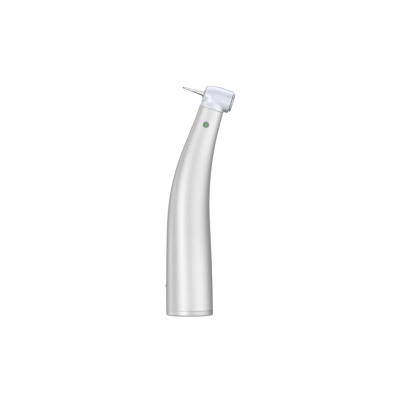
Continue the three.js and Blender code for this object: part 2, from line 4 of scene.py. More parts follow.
import bpy
import numpy as np
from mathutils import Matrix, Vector


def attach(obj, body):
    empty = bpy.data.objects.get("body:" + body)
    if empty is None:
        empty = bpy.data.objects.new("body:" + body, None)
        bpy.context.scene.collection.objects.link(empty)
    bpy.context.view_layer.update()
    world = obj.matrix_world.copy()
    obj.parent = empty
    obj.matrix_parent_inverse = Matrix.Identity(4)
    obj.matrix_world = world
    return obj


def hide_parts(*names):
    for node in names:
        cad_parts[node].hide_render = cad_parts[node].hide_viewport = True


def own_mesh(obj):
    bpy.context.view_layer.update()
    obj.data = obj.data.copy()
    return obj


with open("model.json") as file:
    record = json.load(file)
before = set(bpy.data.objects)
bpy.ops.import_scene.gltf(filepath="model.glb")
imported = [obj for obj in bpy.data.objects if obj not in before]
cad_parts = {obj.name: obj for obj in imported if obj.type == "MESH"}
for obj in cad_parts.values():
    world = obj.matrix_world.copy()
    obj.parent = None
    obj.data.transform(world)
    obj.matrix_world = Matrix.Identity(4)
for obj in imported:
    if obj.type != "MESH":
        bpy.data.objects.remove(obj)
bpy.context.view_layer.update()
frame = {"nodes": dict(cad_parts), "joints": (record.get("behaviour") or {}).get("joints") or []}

# ------------------------------------------------------------------ frames and shared sizes
MM = 0.001
BEND = math.radians(17.7)  # lean of the neck axis from the grip axis
HEAD_FROM_GRIP = 11.07     # from the grip axis to the crossing of the neck and bur axes, along x

# The spindle's joint passes through the crossing of the axes.
spindle_joint = next(j for j in frame["joints"] if j["name"] == "chuck_spin")
HEAD = np.array(spindle_joint["pos_m"], float) * 1000.0
GRIP = np.array([HEAD[0] - HEAD_FROM_GRIP, 0.0, 0.0])
HEAD_IN_GRIP = HEAD - GRIP
AXIS_U = np.array([math.cos(BEND), 0.0, -math.sin(BEND)])
AXIS_Y = np.array([0.0, 1.0, 0.0])
AXIS_L = np.array([math.sin(BEND), 0.0, math.cos(BEND)])

PIN_Z = 12.55            # height of the locating pin
PIN_HOLE_RADIUS = 0.83
DOT_U, DOT_L = -0.2, -12.6
DOT_RADIUS = 1.285
DOT_CLEARANCE = 0.055
BUR_TIP = -14.8          # u of the bur's tip
GRIP_PIPE_CIRCLE = 7.4   # radius of the circle the rod and tubes stand on in the grip
NECK_PIPE_CIRCLE = 3.56  # the same in the neck
ROD_AZIMUTH, TUBE_AZIMUTH = 140.0, 62.0  # degrees from +X; the tubes stand at plus and minus


def count(segments):
    """Segment count, at least 16 and kept a multiple of four."""
    share = 1.0
    return max(16, int(segments * share) // 4 * 4)


def cell_size(fine):
    return fine


def neck_vectors(points, origin=0.0):
    """Neck-frame (u, y, l) rows as row-frame directions, added to an origin."""
    return origin + points[:, :1] * AXIS_U + points[:, 1:2] * AXIS_Y + points[:, 2:3] * AXIS_L


def to_row(points, where):
    """Points of a local frame, in mm, as row-frame points in metres."""
    points = np.asarray(points, float)
    placed = neck_vectors(points, HEAD) if where == "neck" else points + GRIP
    return placed * MM


# ------------------------------------------------------------------ making objects
def mesh_object(name, points, faces):
    mesh = bpy.data.meshes.new(name)
    mesh.from_pydata([tuple(p) for p in points], [], [tuple(int(i) for i in f) for f in faces])
    return mesh


def link(name, data):
    ob = bpy.data.objects.new(name, data)
    bpy.context.scene.collection.objects.link(ob)
    return ob


def turn_outward(mesh, points):
    """Flips a closed mesh whose volume comes out negative."""
    mesh.calc_loop_triangles()
    corners = np.zeros(len(mesh.loop_triangles) * 3, np.int32)
    mesh.loop_triangles.foreach_get("vertices", corners)
    a, b, c = (points[corners.reshape(-1, 3)[:, i]] for i in range(3))
    if np.einsum("ij,ij->i", a, np.cross(b, c)).sum() < 0:
        mesh.flip_normals()


def make(node, shape, where, body, material, smooth=30.0):
    """Adds the piece that stands in for a frame node.
    shape is (points, faces) or (points, faces, normals); smooth is the sharp-edge angle in
    degrees, used when no normals are given."""
    points, faces, *normals = shape
    points = to_row(points, where)
    name = f"fine_{node}"
    mesh = mesh_object(name, points, faces)
    mesh.validate()
    mesh.update()
    turn_outward(mesh, points)
    for polygon in mesh.polygons:
        polygon.use_smooth = True
    if normals:
        directions = np.asarray(normals[0], float)
        if where == "neck":
            directions = neck_vectors(directions)
        mesh.normals_split_custom_set_from_vertices([tuple(d) for d in directions])
    elif smooth is not None:
        mesh.set_sharp_from_angle(angle=math.radians(smooth))
    ob = link(name, mesh)
    mesh.materials.append(material)
    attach(ob, body)
    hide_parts(node)
    return ob


def cutter(name, shape, where):
    points, faces = shape
    mesh = mesh_object(name, to_row(points, where), faces)
    mesh.update()
    return link(name, mesh)


def cut(ob, tools):
    """Takes the tools away from ob, applies the result and keeps the surface smooth."""
    for tool in tools:
        boolean = ob.modifiers.new("cut", "BOOLEAN")
        boolean.operation = "DIFFERENCE"
        boolean.solver = "EXACT"
        boolean.object = tool
    bpy.context.view_layer.update()
    graph = bpy.context.evaluated_depsgraph_get()
    mesh = bpy.data.meshes.new_from_object(ob.evaluated_get(graph))
    ob.modifiers.clear()
    ob.data = mesh
    for tool in tools:
        bpy.data.objects.remove(tool)
    for polygon in mesh.polygons:
        polygon.use_smooth = True
    mesh.set_sharp_from_angle(angle=math.radians(35))


# ------------------------------------------------------------------ skins, turned shapes, curves
def skin(rings, closed=False):
    """A mesh through rings of points. A ring of one point is joined by a fan."""
    starts = np.cumsum([0] + [len(ring) for ring in rings])
    index = [range(s, s + len(ring)) for s, ring in zip(starts, rings)]
    following = index[1:] + index[:1] if closed else index[1:]
    faces = []
    for a, b in zip(index, following):
        size = max(len(a), len(b))
        for i in range(size):
            j = (i + 1) % size
            if len(a) == 1:
                faces.append((a[0], b[i], b[j]))
            elif len(b) == 1:
                faces.append((a[i], b[0], a[j]))
            else:
                faces.append((a[i], b[i], b[j], a[j]))
    return np.concatenate(rings), faces


def loft(rings, closed=False):
    """A mesh through rings of equal size, its quads wound the other way from skin's."""
    total, size = len(rings), len(rings[0])
    faces = []
    for k in range(total if closed else total - 1):
        a, b = k * size, (k + 1) % total * size
        for i in range(size):
            j = (i + 1) % size
            faces.append((a + i, a + j, b + j, b + i))
    return np.concatenate(rings), faces


def soften(corners, arc_steps=4, closed=True):
    """A polygon of (x, y, fillet radius) corners as a polyline with round corners, and with
    holding points so that flats stay flat under smooth shading."""
    points = [np.array(c[:2], float) for c in corners]
    radii = [c[2] if len(c) > 2 else 0.0 for c in corners]
    last = len(points) - 1
    rounded = []  # start, end and inner arc points of each corner
    for i, corner in enumerate(points):
        if not closed and i in (0, last):
            rounded.append((corner, corner, None))
            continue
        back, ahead = points[i - 1] - corner, points[(i + 1) % len(points)] - corner
        back_length, ahead_length = np.linalg.norm(back), np.linalg.norm(ahead)
        back, ahead = back / back_length, ahead / ahead_length
        angle = math.acos(max(-1.0, min(1.0, float(back @ ahead))))
        if radii[i] <= 0 or angle > math.radians(177):
            rounded.append((corner, corner, None))
            continue
        trim = min(radii[i] / math.tan(angle / 2), 0.42 * back_length, 0.42 * ahead_length)
        radius = trim * math.tan(angle / 2)
        middle = (back + ahead) / np.linalg.norm(back + ahead)
        centre = corner + middle * (radius / math.sin(angle / 2))
        start, end = corner + back * trim, corner + ahead * trim
        first = math.atan2(*(start - centre)[::-1])
        sweep = math.atan2(*(end - centre)[::-1]) - first
        sweep = (sweep + math.pi) % (2 * math.pi) - math.pi
        arc = []
        for q in range(1, arc_steps):
            turn = first + sweep * q / arc_steps
            arc.append(centre + radius * np.array([math.cos(turn), math.sin(turn)]))
        rounded.append((start, end, arc))
    line = []
    for i, (start, end, arc) in enumerate(rounded):
        line.append(start)
        if arc is not None:
            line.extend(arc)
            line.append(end)
        if not closed and i == last:
            break
        next_start, _, next_arc = rounded[(i + 1) % len(points)]
        gap = np.linalg.norm(next_start - end)
        if gap > 0.16:
            hold = min(0.05, gap * 0.2)
            along = (next_start - end) / gap
            if arc is not None:
                line.append(end + along * hold)
            if next_arc is not None:
                line.append(next_start - along * hold)
    clean = [line[0]]
    for point in line[1:]:
        if np.linalg.norm(point - clean[-1]) > 1e-6:
            clean.append(point)
    if closed and np.linalg.norm(clean[0] - clean[-1]) < 1e-6:
        clean.pop()
    return clean


def lathe(profile, segments, along, closed, wave=None):
    """A turned shape from a (radius, height) polyline, about z or x.
    An open profile starts and ends on the axis. wave(angle, r, h) gives a changed (r, h)."""
    rings = []
    for radius, height in profile:
        if radius < 1e-7:
            rings.append([(0.0, 0.0, height)])
            continue
        ring = []
        for i in range(segments):
            angle = 2 * math.pi * i / segments
            r, h = wave(angle, radius, height) if wave else (radius, height)
            ring.append((r * math.cos(angle), r * math.sin(angle), h))
        rings.append(ring)
    points, faces = skin(rings, closed)
    return (points[:, [2, 0, 1]] if along == "x" else points), faces


def turned_ring(corners, segments, along="z", arc_steps=4, wave=None):
    return lathe(soften(corners, arc_steps), segments, along, True, wave)


def turned_solid(corners, segments, along="z"):
    return lathe(soften(corners, closed=False), segments, along, False)


def catmull_rom(padded, steps):
    """A smooth curve through all points but the first and last, which only steer the ends."""
    p = np.array(padded, float)
    curve = []
    for i in range(1, len(p) - 2):
        for q in range(steps):
            t = q / steps
            curve.append(0.5 * (
                (2 * p[i])
                + (p[i + 1] - p[i - 1]) * t
                + (2 * p[i - 1] - 5 * p[i] + 4 * p[i + 1] - p[i + 2]) * t * t
                + (3 * p[i] - p[i - 1] - 3 * p[i + 1] + p[i + 2]) * t**3
            ))
    curve.append(p[-2])
    return curve


# ------------------------------------------------------------------ surfaces from distances
# A distance function takes rows of points and gives a signed distance, negative inside.
def surface(distance, low, high, cell):
    """Points, quads and normals of the zero surface: one point per crossed cell, moved on to it."""
    low, high = np.array(low, float), np.array(high, float)
    n = np.ceil((high - low) / cell).astype(int) + 1
    axes = [low[i] + cell * np.arange(n[i]) for i in range(3)]
    values = np.empty(n, np.float32)
    for i in range(n[0]):
        y, z = np.meshgrid(axes[1], axes[2], indexing="ij")
        layer = np.stack([np.full(y.size, axes[0][i]), y.ravel(), z.ravel()], 1)
        values[i] = distance(layer).reshape(n[1], n[2])
    inside = values < 0
    corners_inside = np.zeros(tuple(n - 1), np.int16)
    for dx in (0, 1):
        for dy in (0, 1):
            for dz in (0, 1):
                corners_inside += inside[
                    dx : n[0] - 1 + dx, dy : n[1] - 1 + dy, dz : n[2] - 1 + dz
                ]
    active = (corners_inside > 0) & (corners_inside < 8)
    cells = np.argwhere(active)
    points = low + cell * mean_crossings(values, cells)
    quads = crossing_quads(inside, active, n)
    return (*settle(distance, points, cell, quads),)


def mean_crossings(values, cells):
    """The mean place, in cells, where the surface crosses the twelve edges of each cell."""
    total = np.zeros((len(cells), 3))
    hits = np.zeros(len(cells))
    for axis in range(3):
        across = [a for a in range(3) if a != axis]
        for step_a in (0, 1):
            for step_b in (0, 1):
                start = cells.copy()
                start[:, across[0]] += step_a
                start[:, across[1]] += step_b
                end = start.copy()
                end[:, axis] += 1
                v0 = values[start[:, 0], start[:, 1], start[:, 2]].astype(float)
                v1 = values[end[:, 0], end[:, 1], end[:, 2]].astype(float)
                cross = (v0 < 0) != (v1 < 0)
                place = start.astype(float)
                place[:, axis] += np.where(cross, v0 / np.where(cross, v0 - v1, 1.0), 0.0)
                total[cross] += place[cross]
                hits[cross] += 1
    return total / hits[:, None]


def crossing_quads(inside, active, n):
    """A quad round every grid edge that the surface crosses."""
    index = np.full(active.shape, -1, np.int64)
    index[active] = np.arange(np.count_nonzero(active))
    quads = []
    for axis in range(3):
        a1, a2 = (axis + 1) % 3, (axis + 2) % 3
        here, there = [slice(None)] * 3, [slice(None)] * 3
        here[axis], there[axis] = slice(0, n[axis] - 1), slice(1, n[axis])
        edge = np.argwhere(inside[tuple(here)] != inside[tuple(there)])
        edge = edge[
            (edge[:, a1] > 0) & (edge[:, a2] > 0)
            & (edge[:, a1] < n[a1] - 1) & (edge[:, a2] < n[a2] - 1)
        ]
        flip = ~inside[edge[:, 0], edge[:, 1], edge[:, 2]]
        corners = []
        for d1, d2 in ((-1, -1), (0, -1), (0, 0), (-1, 0)):
            q = edge.copy()
            q[:, a1] += d1
            q[:, a2] += d2
            corners.append(index[q[:, 0], q[:, 1], q[:, 2]])
        quad = np.stack(corners, 1)
        quad[flip] = quad[flip][:, ::-1]
        quads.append(quad)
    return np.concatenate(quads)


def settle(distance, points, cell, quads):
    """Moves the points on to the surface, each at most 0.7 of a cell, and adds normals."""
    probe = cell * 0.05

    def gradient(p):
        slope = np.empty_like(p)
        for axis in range(3):
            d = np.zeros(3)
            d[axis] = probe
            slope[:, axis] = (distance(p + d) - distance(p - d)) / (2 * probe)
        return slope

    start = points.copy()
    for _ in range(4):
        value = distance(points)
        slope = gradient(points)
        step = -(value / np.maximum((slope * slope).sum(1), 0.25))[:, None] * slope
        length = np.linalg.norm(step, axis=1, keepdims=True)
        points = points + step * np.minimum(1.0, 0.5 * cell / np.maximum(length, 1e-9))
        away = points - start
        length = np.linalg.norm(away, axis=1, keepdims=True)
        points = start + away * np.minimum(1.0, 0.7 * cell / np.maximum(length, 1e-9))
    normals = gradient(points)
    normals /= np.maximum(np.linalg.norm(normals, axis=1, keepdims=True), 1e-9)
    return points, quads, normals


def smooth_max(a, b, blend):
    h = np.maximum(blend - np.abs(a - b), 0.0)
    return np.maximum(a, b) + h * h * (0.25 / blend)


def smooth_min(a, b, blend):
    return -smooth_max(-a, -b, blend)


def carve(solid, blend, *walls):
    """Takes away the space that lies inside all the walls, with a softened edge."""
    return smooth_max(solid, -np.maximum.reduce(walls), blend)


def polygon_distance(polygon, x, y):
    """Signed distance to a closed polygon in a plane."""
    starts = np.array(polygon, float)
    ends = np.roll(starts, -1, 0)
    sides = ends - starts
    squared = (sides * sides).sum(1)
    best = np.full(x.shape, 1e9)
    sign = np.ones(x.shape)
    for start, end, side, length2 in zip(starts, ends, sides, squared):
        px, py = x - start[0], y - start[1]
        t = np.clip((px * side[0] + py * side[1]) / length2, 0, 1)
        dx, dy = px - t * side[0], py - t * side[1]
        best = np.minimum(best, dx * dx + dy * dy)
        above, below = y >= start[1], y < end[1]
        left = side[0] * py > side[1] * px
        sign = np.where((above & below & left) | (~above & ~below & ~left), -sign, sign)
    return sign * np.sqrt(best)


def table_distance(polygon, low, high, cell=0.04):
    """polygon_distance looked up from a fine table, for use on millions of points."""
    nx, ny = [int(math.ceil((high[i] - low[i]) / cell)) + 1 for i in range(2)]
    grid = np.meshgrid(
        low[0] + cell * np.arange(nx), low[1] + cell * np.arange(ny), indexing="ij"
    )
    table = polygon_distance(polygon, *grid)

    def look(x, y):
        fx = np.clip((x - low[0]) / cell, 0, nx - 1.001)
        fy = np.clip((y - low[1]) / cell, 0, ny - 1.001)
        ix, iy = fx.astype(int), fy.astype(int)
        tx, ty = fx - ix, fy - iy
        return (
            table[ix, iy] * (1 - tx) * (1 - ty)
            + table[ix + 1, iy] * tx * (1 - ty)
            + table[ix, iy + 1] * (1 - tx) * ty
            + table[ix + 1, iy + 1] * tx * ty
        )

    return look


# ------------------------------------------------------------------ the sleeve's centre line
# z, x, slope of x, radius, slope of radius
SLEEVE_STATIONS = np.array([
    (0, 0.0, -0.0022, 10.15, -0.0017), (8, -0.055, -0.0102, 10.11, -0.0080),
    (16, -0.152, -0.0125, 10.008, -0.0176), (24, -0.254, -0.0133, 9.826, -0.0278),
    (32, -0.371, -0.0150, 9.567, -0.0369), (38, -0.437, -0.0030, 9.324, -0.0440),
    (42, -0.415, 0.0190, 9.136, -0.0506), (46, -0.285, 0.0500, 8.917, -0.0592),
    (50, -0.010, 0.0900, 8.657, -0.0703), (54, 0.430, 0.1300, 8.352, -0.0826),
    (58, 1.029, 0.1697, 7.999, -0.0943), (62, 1.786, 0.2083, 7.602, -0.1037),
    (66, 2.690, 0.2437, 7.176, -0.1090), (70, 3.727, 0.2744, 6.737, -0.1086),
    (74, 4.875, 0.2990, 6.308, -0.1017), (78, 6.108, 0.3140, 5.925, -0.0880),
    (82, 7.384, 0.3190, 5.612, -0.0640), (86, 8.662, 0.3191, 5.414, -0.0390),
    (88.29, 9.398, 0.3191, 5.33, -0.0350),
])


def hermite(z, column):
    """Value and slope, at z, of a station column whose slopes stand in the next column."""
    z = np.atleast_1d(np.asarray(z, float))
    stations = SLEEVE_STATIONS
    k = np.clip(np.searchsorted(stations[:, 0], z, side="right") - 1, 0, len(stations) - 2)
    h = stations[k + 1, 0] - stations[k, 0]
    t = (z - stations[k, 0]) / h
    a, b = stations[k, column], stations[k + 1, column]
    m0, m1 = stations[k, column + 1] * h, stations[k + 1, column + 1] * h
    value = (
        (2 * t**3 - 3 * t**2 + 1) * a + (t**3 - 2 * t**2 + t) * m0
        + (3 * t**2 - 2 * t**3) * b + (t**3 - t**2) * m1
    )
    slope = (
        (6 * t**2 - 6 * t) * a + (3 * t**2 - 4 * t + 1) * m0
        + (6 * t - 6 * t**2) * b + (3 * t**2 - 2 * t) * m1
    ) / h
    return value, slope


def section(z):
    """x of the centre line, its lean and the sleeve's radius at station z."""
    x, slope = hermite(z, 1)
    radius, _ = hermite(z, 3)
    return x, np.arctan(slope), radius


def sleeve_ring(z, inset, shift, segments):
    """A ring of the sleeve at z, its radius less by inset, moved by shift along the local axis."""
    x, lean, radius = (float(v[0]) for v in section(z))
    angle = 2 * np.pi * np.arange(segments) / segments
    r = radius - inset
    centre_x, centre_z = x + shift * math.sin(lean), z + shift * math.cos(lean)
    return np.stack([
        centre_x + r * np.cos(angle) * math.cos(lean),
        r * np.sin(angle),
        centre_z - r * np.cos(angle) * math.sin(lean),
    ], 1)


def in_sleeve(z, radius, azimuth):
    """A point of the section at z, by its distance and azimuth in degrees from the centre line."""
    x, lean, _ = (float(v[0]) for v in section(z))
    c = radius * math.cos(math.radians(azimuth))
    y = radius * math.sin(math.radians(azimuth))
    return np.array([x + c * math.cos(lean), y, z - c * math.sin(lean)])


def sleeve_surface_y(u, l):
    """y of the sleeve's outside on the -Y side, at neck-frame u and l."""
    p = neck_vectors(np.stack([u, np.zeros_like(u), l], 1), HEAD_IN_GRIP)
    z = p[:, 2].copy()
    for _ in range(12):  # closes in on the station whose plane holds the point
        x, lean, _ = section(z)
        z = z + ((p[:, 0] - x) * np.sin(lean) + (p[:, 2] - z) * np.cos(lean)) * 0.9
    x, lean, radius = section(z)
    across = (p[:, 0] - x) * np.cos(lean) - (p[:, 2] - z) * np.sin(lean)
    return -np.sqrt(np.maximum(radius * radius - across * across, 0))


# ------------------------------------------------------------------ shader nodes
RISING, FALLING = (0.0, 1.0), (1.0, 0.0)
X_AXIS, Z_AXIS = (1.0, 0.0, 0.0), (0.0, 0.0, 1.0)


class Nodes:
    """A cleared node tree with one-line ways of adding nodes."""

    def __init__(self, tree):
        self.tree = tree
        tree.nodes.clear()

    def feed(self, node, inputs):
        """Links sockets and sets plain values, by input name or number."""
        for key, value in inputs.items():
            if isinstance(value, bpy.types.NodeSocket):
                self.tree.links.new(value, node.inputs[key])
            else:
                node.inputs[key].default_value = value

    def add(self, kind, inputs=None, **settings):
        node = self.tree.nodes.new("ShaderNode" + kind)
        for key, value in settings.items():
            setattr(node, key, value)
        self.feed(node, inputs or {})
        return node

    def math(self, operation, a, b):
        return self.add("Math", {0: a, 1: b}, operation=operation).outputs[0]

    def times(self, a, b):
        return self.math("MULTIPLY", a, b)

    def plus(self, a, b):
        return self.math("ADD", a, b)

    def larger(self, a, b):
        return self.math("MAXIMUM", a, b)

    def place(self, stretch=(1, 1, 1), tilt=0.0):
        """Object coordinates in millimetres, turned about y and stretched."""
        coords = self.add("TexCoord").outputs["Object"]
        inputs = {
            "Rotation": (0, tilt, 0), "Scale": [1000.0 * s for s in stretch], "Vector": coords
        }
        return self.add("Mapping", inputs, vector_type="POINT").outputs["Vector"]

    def noise(self, place, scale, detail=2.0, rough=0.5):
        inputs = {"Scale": scale, "Detail": detail, "Roughness": rough, "Vector": place}
        return self.add("TexNoise", inputs).outputs["Fac"]

    def remap(self, value, source=(0.0, 1.0), target=RISING):
        inputs = {
            "From Min": source[0], "From Max": source[1],
            "To Min": target[0], "To Max": target[1], "Value": value,
        }
        return self.add("MapRange", inputs).outputs["Result"]

    def mix(self, factor, a, b):
        """Mixes two colours, each a socket or an (r, g, b)."""
        a, b = ((*c, 1.0) if isinstance(c, tuple) else c for c in (a, b))
        return self.add("Mix", {"Factor": factor, 6: a, 7: b}, data_type="RGBA").outputs[2]

    def along(self, vector, axis, origin=None):
        """Dot product with an axis, of a direction or of a place seen from an origin."""
        if origin is not None:
            inputs = {0: vector, 1: tuple(float(c) for c in origin)}
            vector = self.add("VectorMath", inputs, operation="SUBTRACT").outputs[0]
        inputs = {0: vector, 1: tuple(float(c) for c in axis)}
        return self.add("VectorMath", inputs, operation="DOT_PRODUCT").outputs["Value"]

    def facing(self, axis):
        """How far the surface faces along an axis, -1 to 1."""
        return self.along(self.add("NewGeometry").outputs["Normal"], axis)

    def bump(self, height, distance_mm, **strength):
        inputs = {**strength, "Distance": distance_mm * 1e-3, "Height": height}
        return self.add("Bump", inputs).outputs[0]


def new_material(name):
    material = bpy.data.materials.new(name)
    material.use_nodes = True
    nodes = Nodes(material.node_tree)
    output = nodes.add("OutputMaterial")
    bsdf = nodes.add("BsdfPrincipled")
    nodes.feed(output, {0: bsdf.outputs[0]})
    return material, nodes, bsdf


def scaled(colour, factor):
    return tuple(min(1.0, c * factor) for c in colour)


def cloudy(nodes, cloud, colour, tint):
    """The colour, varied by the tint share either way along the cloud."""
    factor = nodes.remap(cloud, (0.3, 0.7))
    return nodes.mix(factor, scaled(colour, 1 - tint), scaled(colour, 1 + tint))


def metal(name, colour, rough, bump, tint, grain=0.04, grain_scale=10.0, lines=None, tilt=0.0,
          wear=0.0, dark=None, light=None, light_gain=1.12):
    """Metal with cloudy colour, uneven polish, fine grain and edges worn bright.
    grain is the spread of roughness, grain_scale its frequency per mm, bump its depth in mm.
    lines stretches a second grain, by frequencies per mm, into brushing marks turned by tilt.
    dark and light give masks of painted shade, where the colour goes nearly to black, and of
    painted highlight, brighter by light_gain; the bur's darker tip also rides on dark."""
    material, nodes, bsdf = new_material(name)
    place = nodes.place()
    cloud = nodes.noise(place, 0.18, 3.0, 0.55)
    fine = nodes.noise(place, grain_scale, 2.0, 0.6)
    base = cloudy(nodes, cloud, colour, tint)
    if wear > 0:
        pointiness = nodes.add("NewGeometry").outputs["Pointiness"]
        edge = nodes.remap(pointiness, (0.52, 0.62))
        patches = nodes.remap(nodes.noise(place, 1.7, 2.0), (0.35, 0.65), (0.3, 1.0))
        worn = nodes.times(edge, nodes.times(patches, wear))
        base = nodes.mix(worn, base, scaled(colour, 1.15))
    # painted highlight: the light mask lifts the colour by light_gain
    if light is not None:
        base = nodes.mix(light(nodes, place), base, scaled(colour, light_gain))
    # painted shade: the dark mask takes the colour nearly to black
    if dark is not None:
        base = nodes.mix(dark(nodes, place), base, scaled(colour, 0.06))
    polish = nodes.plus(
        nodes.remap(fine, target=(rough - grain, rough + grain)),
        nodes.remap(cloud, (0.3, 0.7), (-0.02, 0.02)),
    )
    height = fine
    if lines is not None:
        stretched = nodes.noise(nodes.place(lines, tilt), 1.0, 3.0, 0.65)
        height = nodes.plus(nodes.times(fine, 0.35), stretched)
    nodes.feed(bsdf, {
        "Base Color": base, "Metallic": 1.0, "Roughness": polish,
        "Normal": nodes.bump(height, bump, Strength=1.0),
    })
    return material


def plain(name, colour, rough, bump, scale, tint, coat=0.0, transmission=0.0, ior=1.5):
    """A non-metal with cloudy colour and a fine grain, bump mm deep at scale per mm."""
    material, nodes, bsdf = new_material(name)
    place = nodes.place()
    cloud = nodes.noise(place, 0.9, 3.0, 0.6)
    fine = nodes.noise(place, scale, 2.0, 0.6)
    nodes.feed(bsdf, {
        "Base Color": cloudy(nodes, cloud, colour, tint),
        "Roughness": nodes.remap(fine, (0.3, 0.7), (max(0.02, rough - 0.05), rough + 0.05)),
        "IOR": ior, "Specular IOR Level": 0.5, "Coat Weight": coat, "Coat Roughness": 0.08,
        "Transmission Weight": transmission, "Normal": nodes.bump(fine, bump),
    })
    return material


def ball_material(name):
    """Bright balls in a brown cage: the attribute "ball" is 1 on the points of a ball."""
    material, nodes, bsdf = new_material(name)
    is_ball = nodes.add("Attribute", attribute_name="ball").outputs["Fac"]
    cloud = nodes.noise(nodes.place(), 5.0, 3.0, 0.6)
    brown = nodes.mix(cloud, (0.30, 0.16, 0.07), (0.42, 0.25, 0.12))
    steel = nodes.mix(cloud, (0.74, 0.75, 0.78), (0.8, 0.81, 0.83))
    nodes.feed(bsdf, {
        "Base Color": nodes.mix(is_ball, brown, steel), "Metallic": is_ball,
        "Roughness": nodes.remap(is_ball, target=(0.5, 0.08)),
        "Normal": nodes.bump(cloud, 0.01),
    })
    return material


# ------------------------------------------------------------------ masks of painted light and shade, mostly by which way the surface faces
def sleeve_painted_highlight(nodes, place):
    """Painted highlight on the lower grip, in a band just inside its edge on the -X side."""
    toward = nodes.facing((-1.0, 0.0, 0.0))
    low = nodes.remap(nodes.along(place, Z_AXIS), (30.0, 46.0), (0.85, 0.0))
    band = nodes.times(
        nodes.remap(toward, (0.68, 0.8)), nodes.remap(toward, (0.9, 0.95), FALLING)
    )
    return nodes.times(low, band)


def sleeve_painted_shade(nodes, place):
    """Painted shade: a faint band up the middle of the sleeve, and its upper part where it faces
    -u.
    """
    toward = nodes.facing(X_AXIS)
    z = nodes.along(place, Z_AXIS)
    middle = nodes.times(
        nodes.remap(z, (22.0, 36.0)), nodes.remap(z, (64.0, 78.0), FALLING)
    )
    band = nodes.times(
        nodes.remap(toward, (-0.25, 0.1)), nodes.remap(toward, (0.65, 0.85), FALLING)
    )
    faint = nodes.times(nodes.times(middle, band), 0.07)
    toward_u = nodes.facing(AXIS_U)
    edge = nodes.times(
        nodes.remap(toward_u, (-0.75, -0.5), FALLING), nodes.remap(z, (54.0, 63.0), (0.0, 0.1))
    )
    return nodes.larger(faint, edge)


def ring_painted_shade(nodes, place):
    """Painted shade on the +X side of the rear ring."""
    return nodes.remap(nodes.facing(X_AXIS), (-0.15, 0.12), (0.0, 0.15))


def ring_painted_highlight(nodes, place):
    """Painted highlight on the -X side of the rear ring."""
    return nodes.remap(nodes.facing((-1.0, 0.0, 0.0)), (0.45, 0.75))


def head_rim_painted_shade(nodes, place):
    """Painted shade on the rims at the two ends of the barrel."""
    toward = nodes.facing(AXIS_U)
    u, l = nodes.along(place, AXIS_U, HEAD), nodes.along(place, AXIS_L, HEAD)
    face = nodes.times(
        nodes.remap(u, (-4.8, -4.45), FALLING), nodes.remap(toward, (-0.65, -0.3), FALLING)
    )
    face = nodes.times(face, nodes.remap(l, (-1.8, -0.8)))
    rim = nodes.times(nodes.remap(u, (6.75, 7.0)), nodes.remap(toward, (0.25, 0.6)))
    return nodes.larger(nodes.times(face, 0.55), nodes.times(rim, 0.45))


def neck_side_painted_highlight(nodes, place):
    """Painted highlight on the sides of the neck that face along the bur axis, either way."""
    toward = nodes.facing(AXIS_U)
    side = nodes.larger(
        nodes.remap(toward, (-0.45, -0.2), FALLING), nodes.remap(toward, (0.32, 0.6))
    )
    l = nodes.along(place, AXIS_L, HEAD)
    return nodes.times(side, nodes.remap(l, (-2.2, -1.2), FALLING))


def bur_tip_and_painted_shade(nodes, place):
    """Darker towards the bur's tip, and painted shade a little on its upper side and strongly on
    its underside.
    """
    x = nodes.add("SeparateXYZ", {0: place}).outputs["X"]
    tip_x = float((HEAD + AXIS_U * BUR_TIP)[0])
    tip = nodes.remap(x, (tip_x + 0.2, tip_x + 1.3), (0.85, 0.0))
    toward = nodes.facing(AXIS_L)
    length = nodes.times(
        nodes.remap(x, (tip_x + 1.5, tip_x + 6.0), (0.45, 1.0)),
        nodes.remap(x, (tip_x + 9.1, tip_x + 10.3), (1.0, 0.72)),
    )
    under = nodes.times(nodes.remap(toward, (-0.6, -0.37), FALLING), length)
    over = nodes.remap(toward, (0.3, 0.6), (0.0, 0.26))
    return nodes.larger(tip, nodes.larger(under, over))


# ------------------------------------------------------------------ materials
# the sleeve's colour carries painted shade and painted highlight, by which way the surface faces
SLEEVE_STEEL = metal(
    "satin_sleeve_steel", (0.84, 0.842, 0.84), rough=0.26, grain=0.02, grain_scale=9.0,
    bump=0.003, lines=(3.0, 3.0, 0.25), tint=0.012, wear=0.5, dark=sleeve_painted_shade,
    light=sleeve_painted_highlight)
# painted shade on the ring's +X side, painted highlight on its -X side
RING_STEEL = metal(
    "satin_ring_steel", (0.85, 0.852, 0.85), rough=0.24, grain=0.02, grain_scale=9.0,
    bump=0.003, lines=(0.3, 0.3, 14.0), tint=0.012, wear=0.5, dark=ring_painted_shade, light=ring_painted_highlight)
# painted shade on the barrel's rims, painted highlight on the neck's sides
HEAD_CHROME = metal(
    "satin_head_chrome", (0.862, 0.882, 0.968), rough=0.29, grain=0.02, grain_scale=12.0,
    bump=0.003, tint=0.012, wear=0.4, dark=head_rim_painted_shade, light=neck_side_painted_highlight, light_gain=1.075)
CAP_CHROME = metal(
    "polished_cap_chrome", (0.72, 0.73, 0.76), rough=0.18, grain=0.02, grain_scale=12.0,
    bump=0.006, lines=(9.0, 0.5, 0.5), tilt=BEND, tint=0.02, wear=0.4)
BUTTON_CHROME = metal(
    "polished_button_chrome", (0.68, 0.685, 0.7), rough=0.16, grain=0.02, grain_scale=12.0,
    bump=0.006, tint=0.02, wear=0.4)
TURNED_STEEL = metal(
    "turned_steel_parts", (0.66, 0.67, 0.68), rough=0.28, bump=0.03, lines=(0.6, 0.6, 16.0),
    tint=0.04, wear=0.6)
PIN_STEEL = metal(
    "turned_pin_steel", (0.42, 0.425, 0.43), rough=0.3, bump=0.006, tint=0.04, wear=0.6)
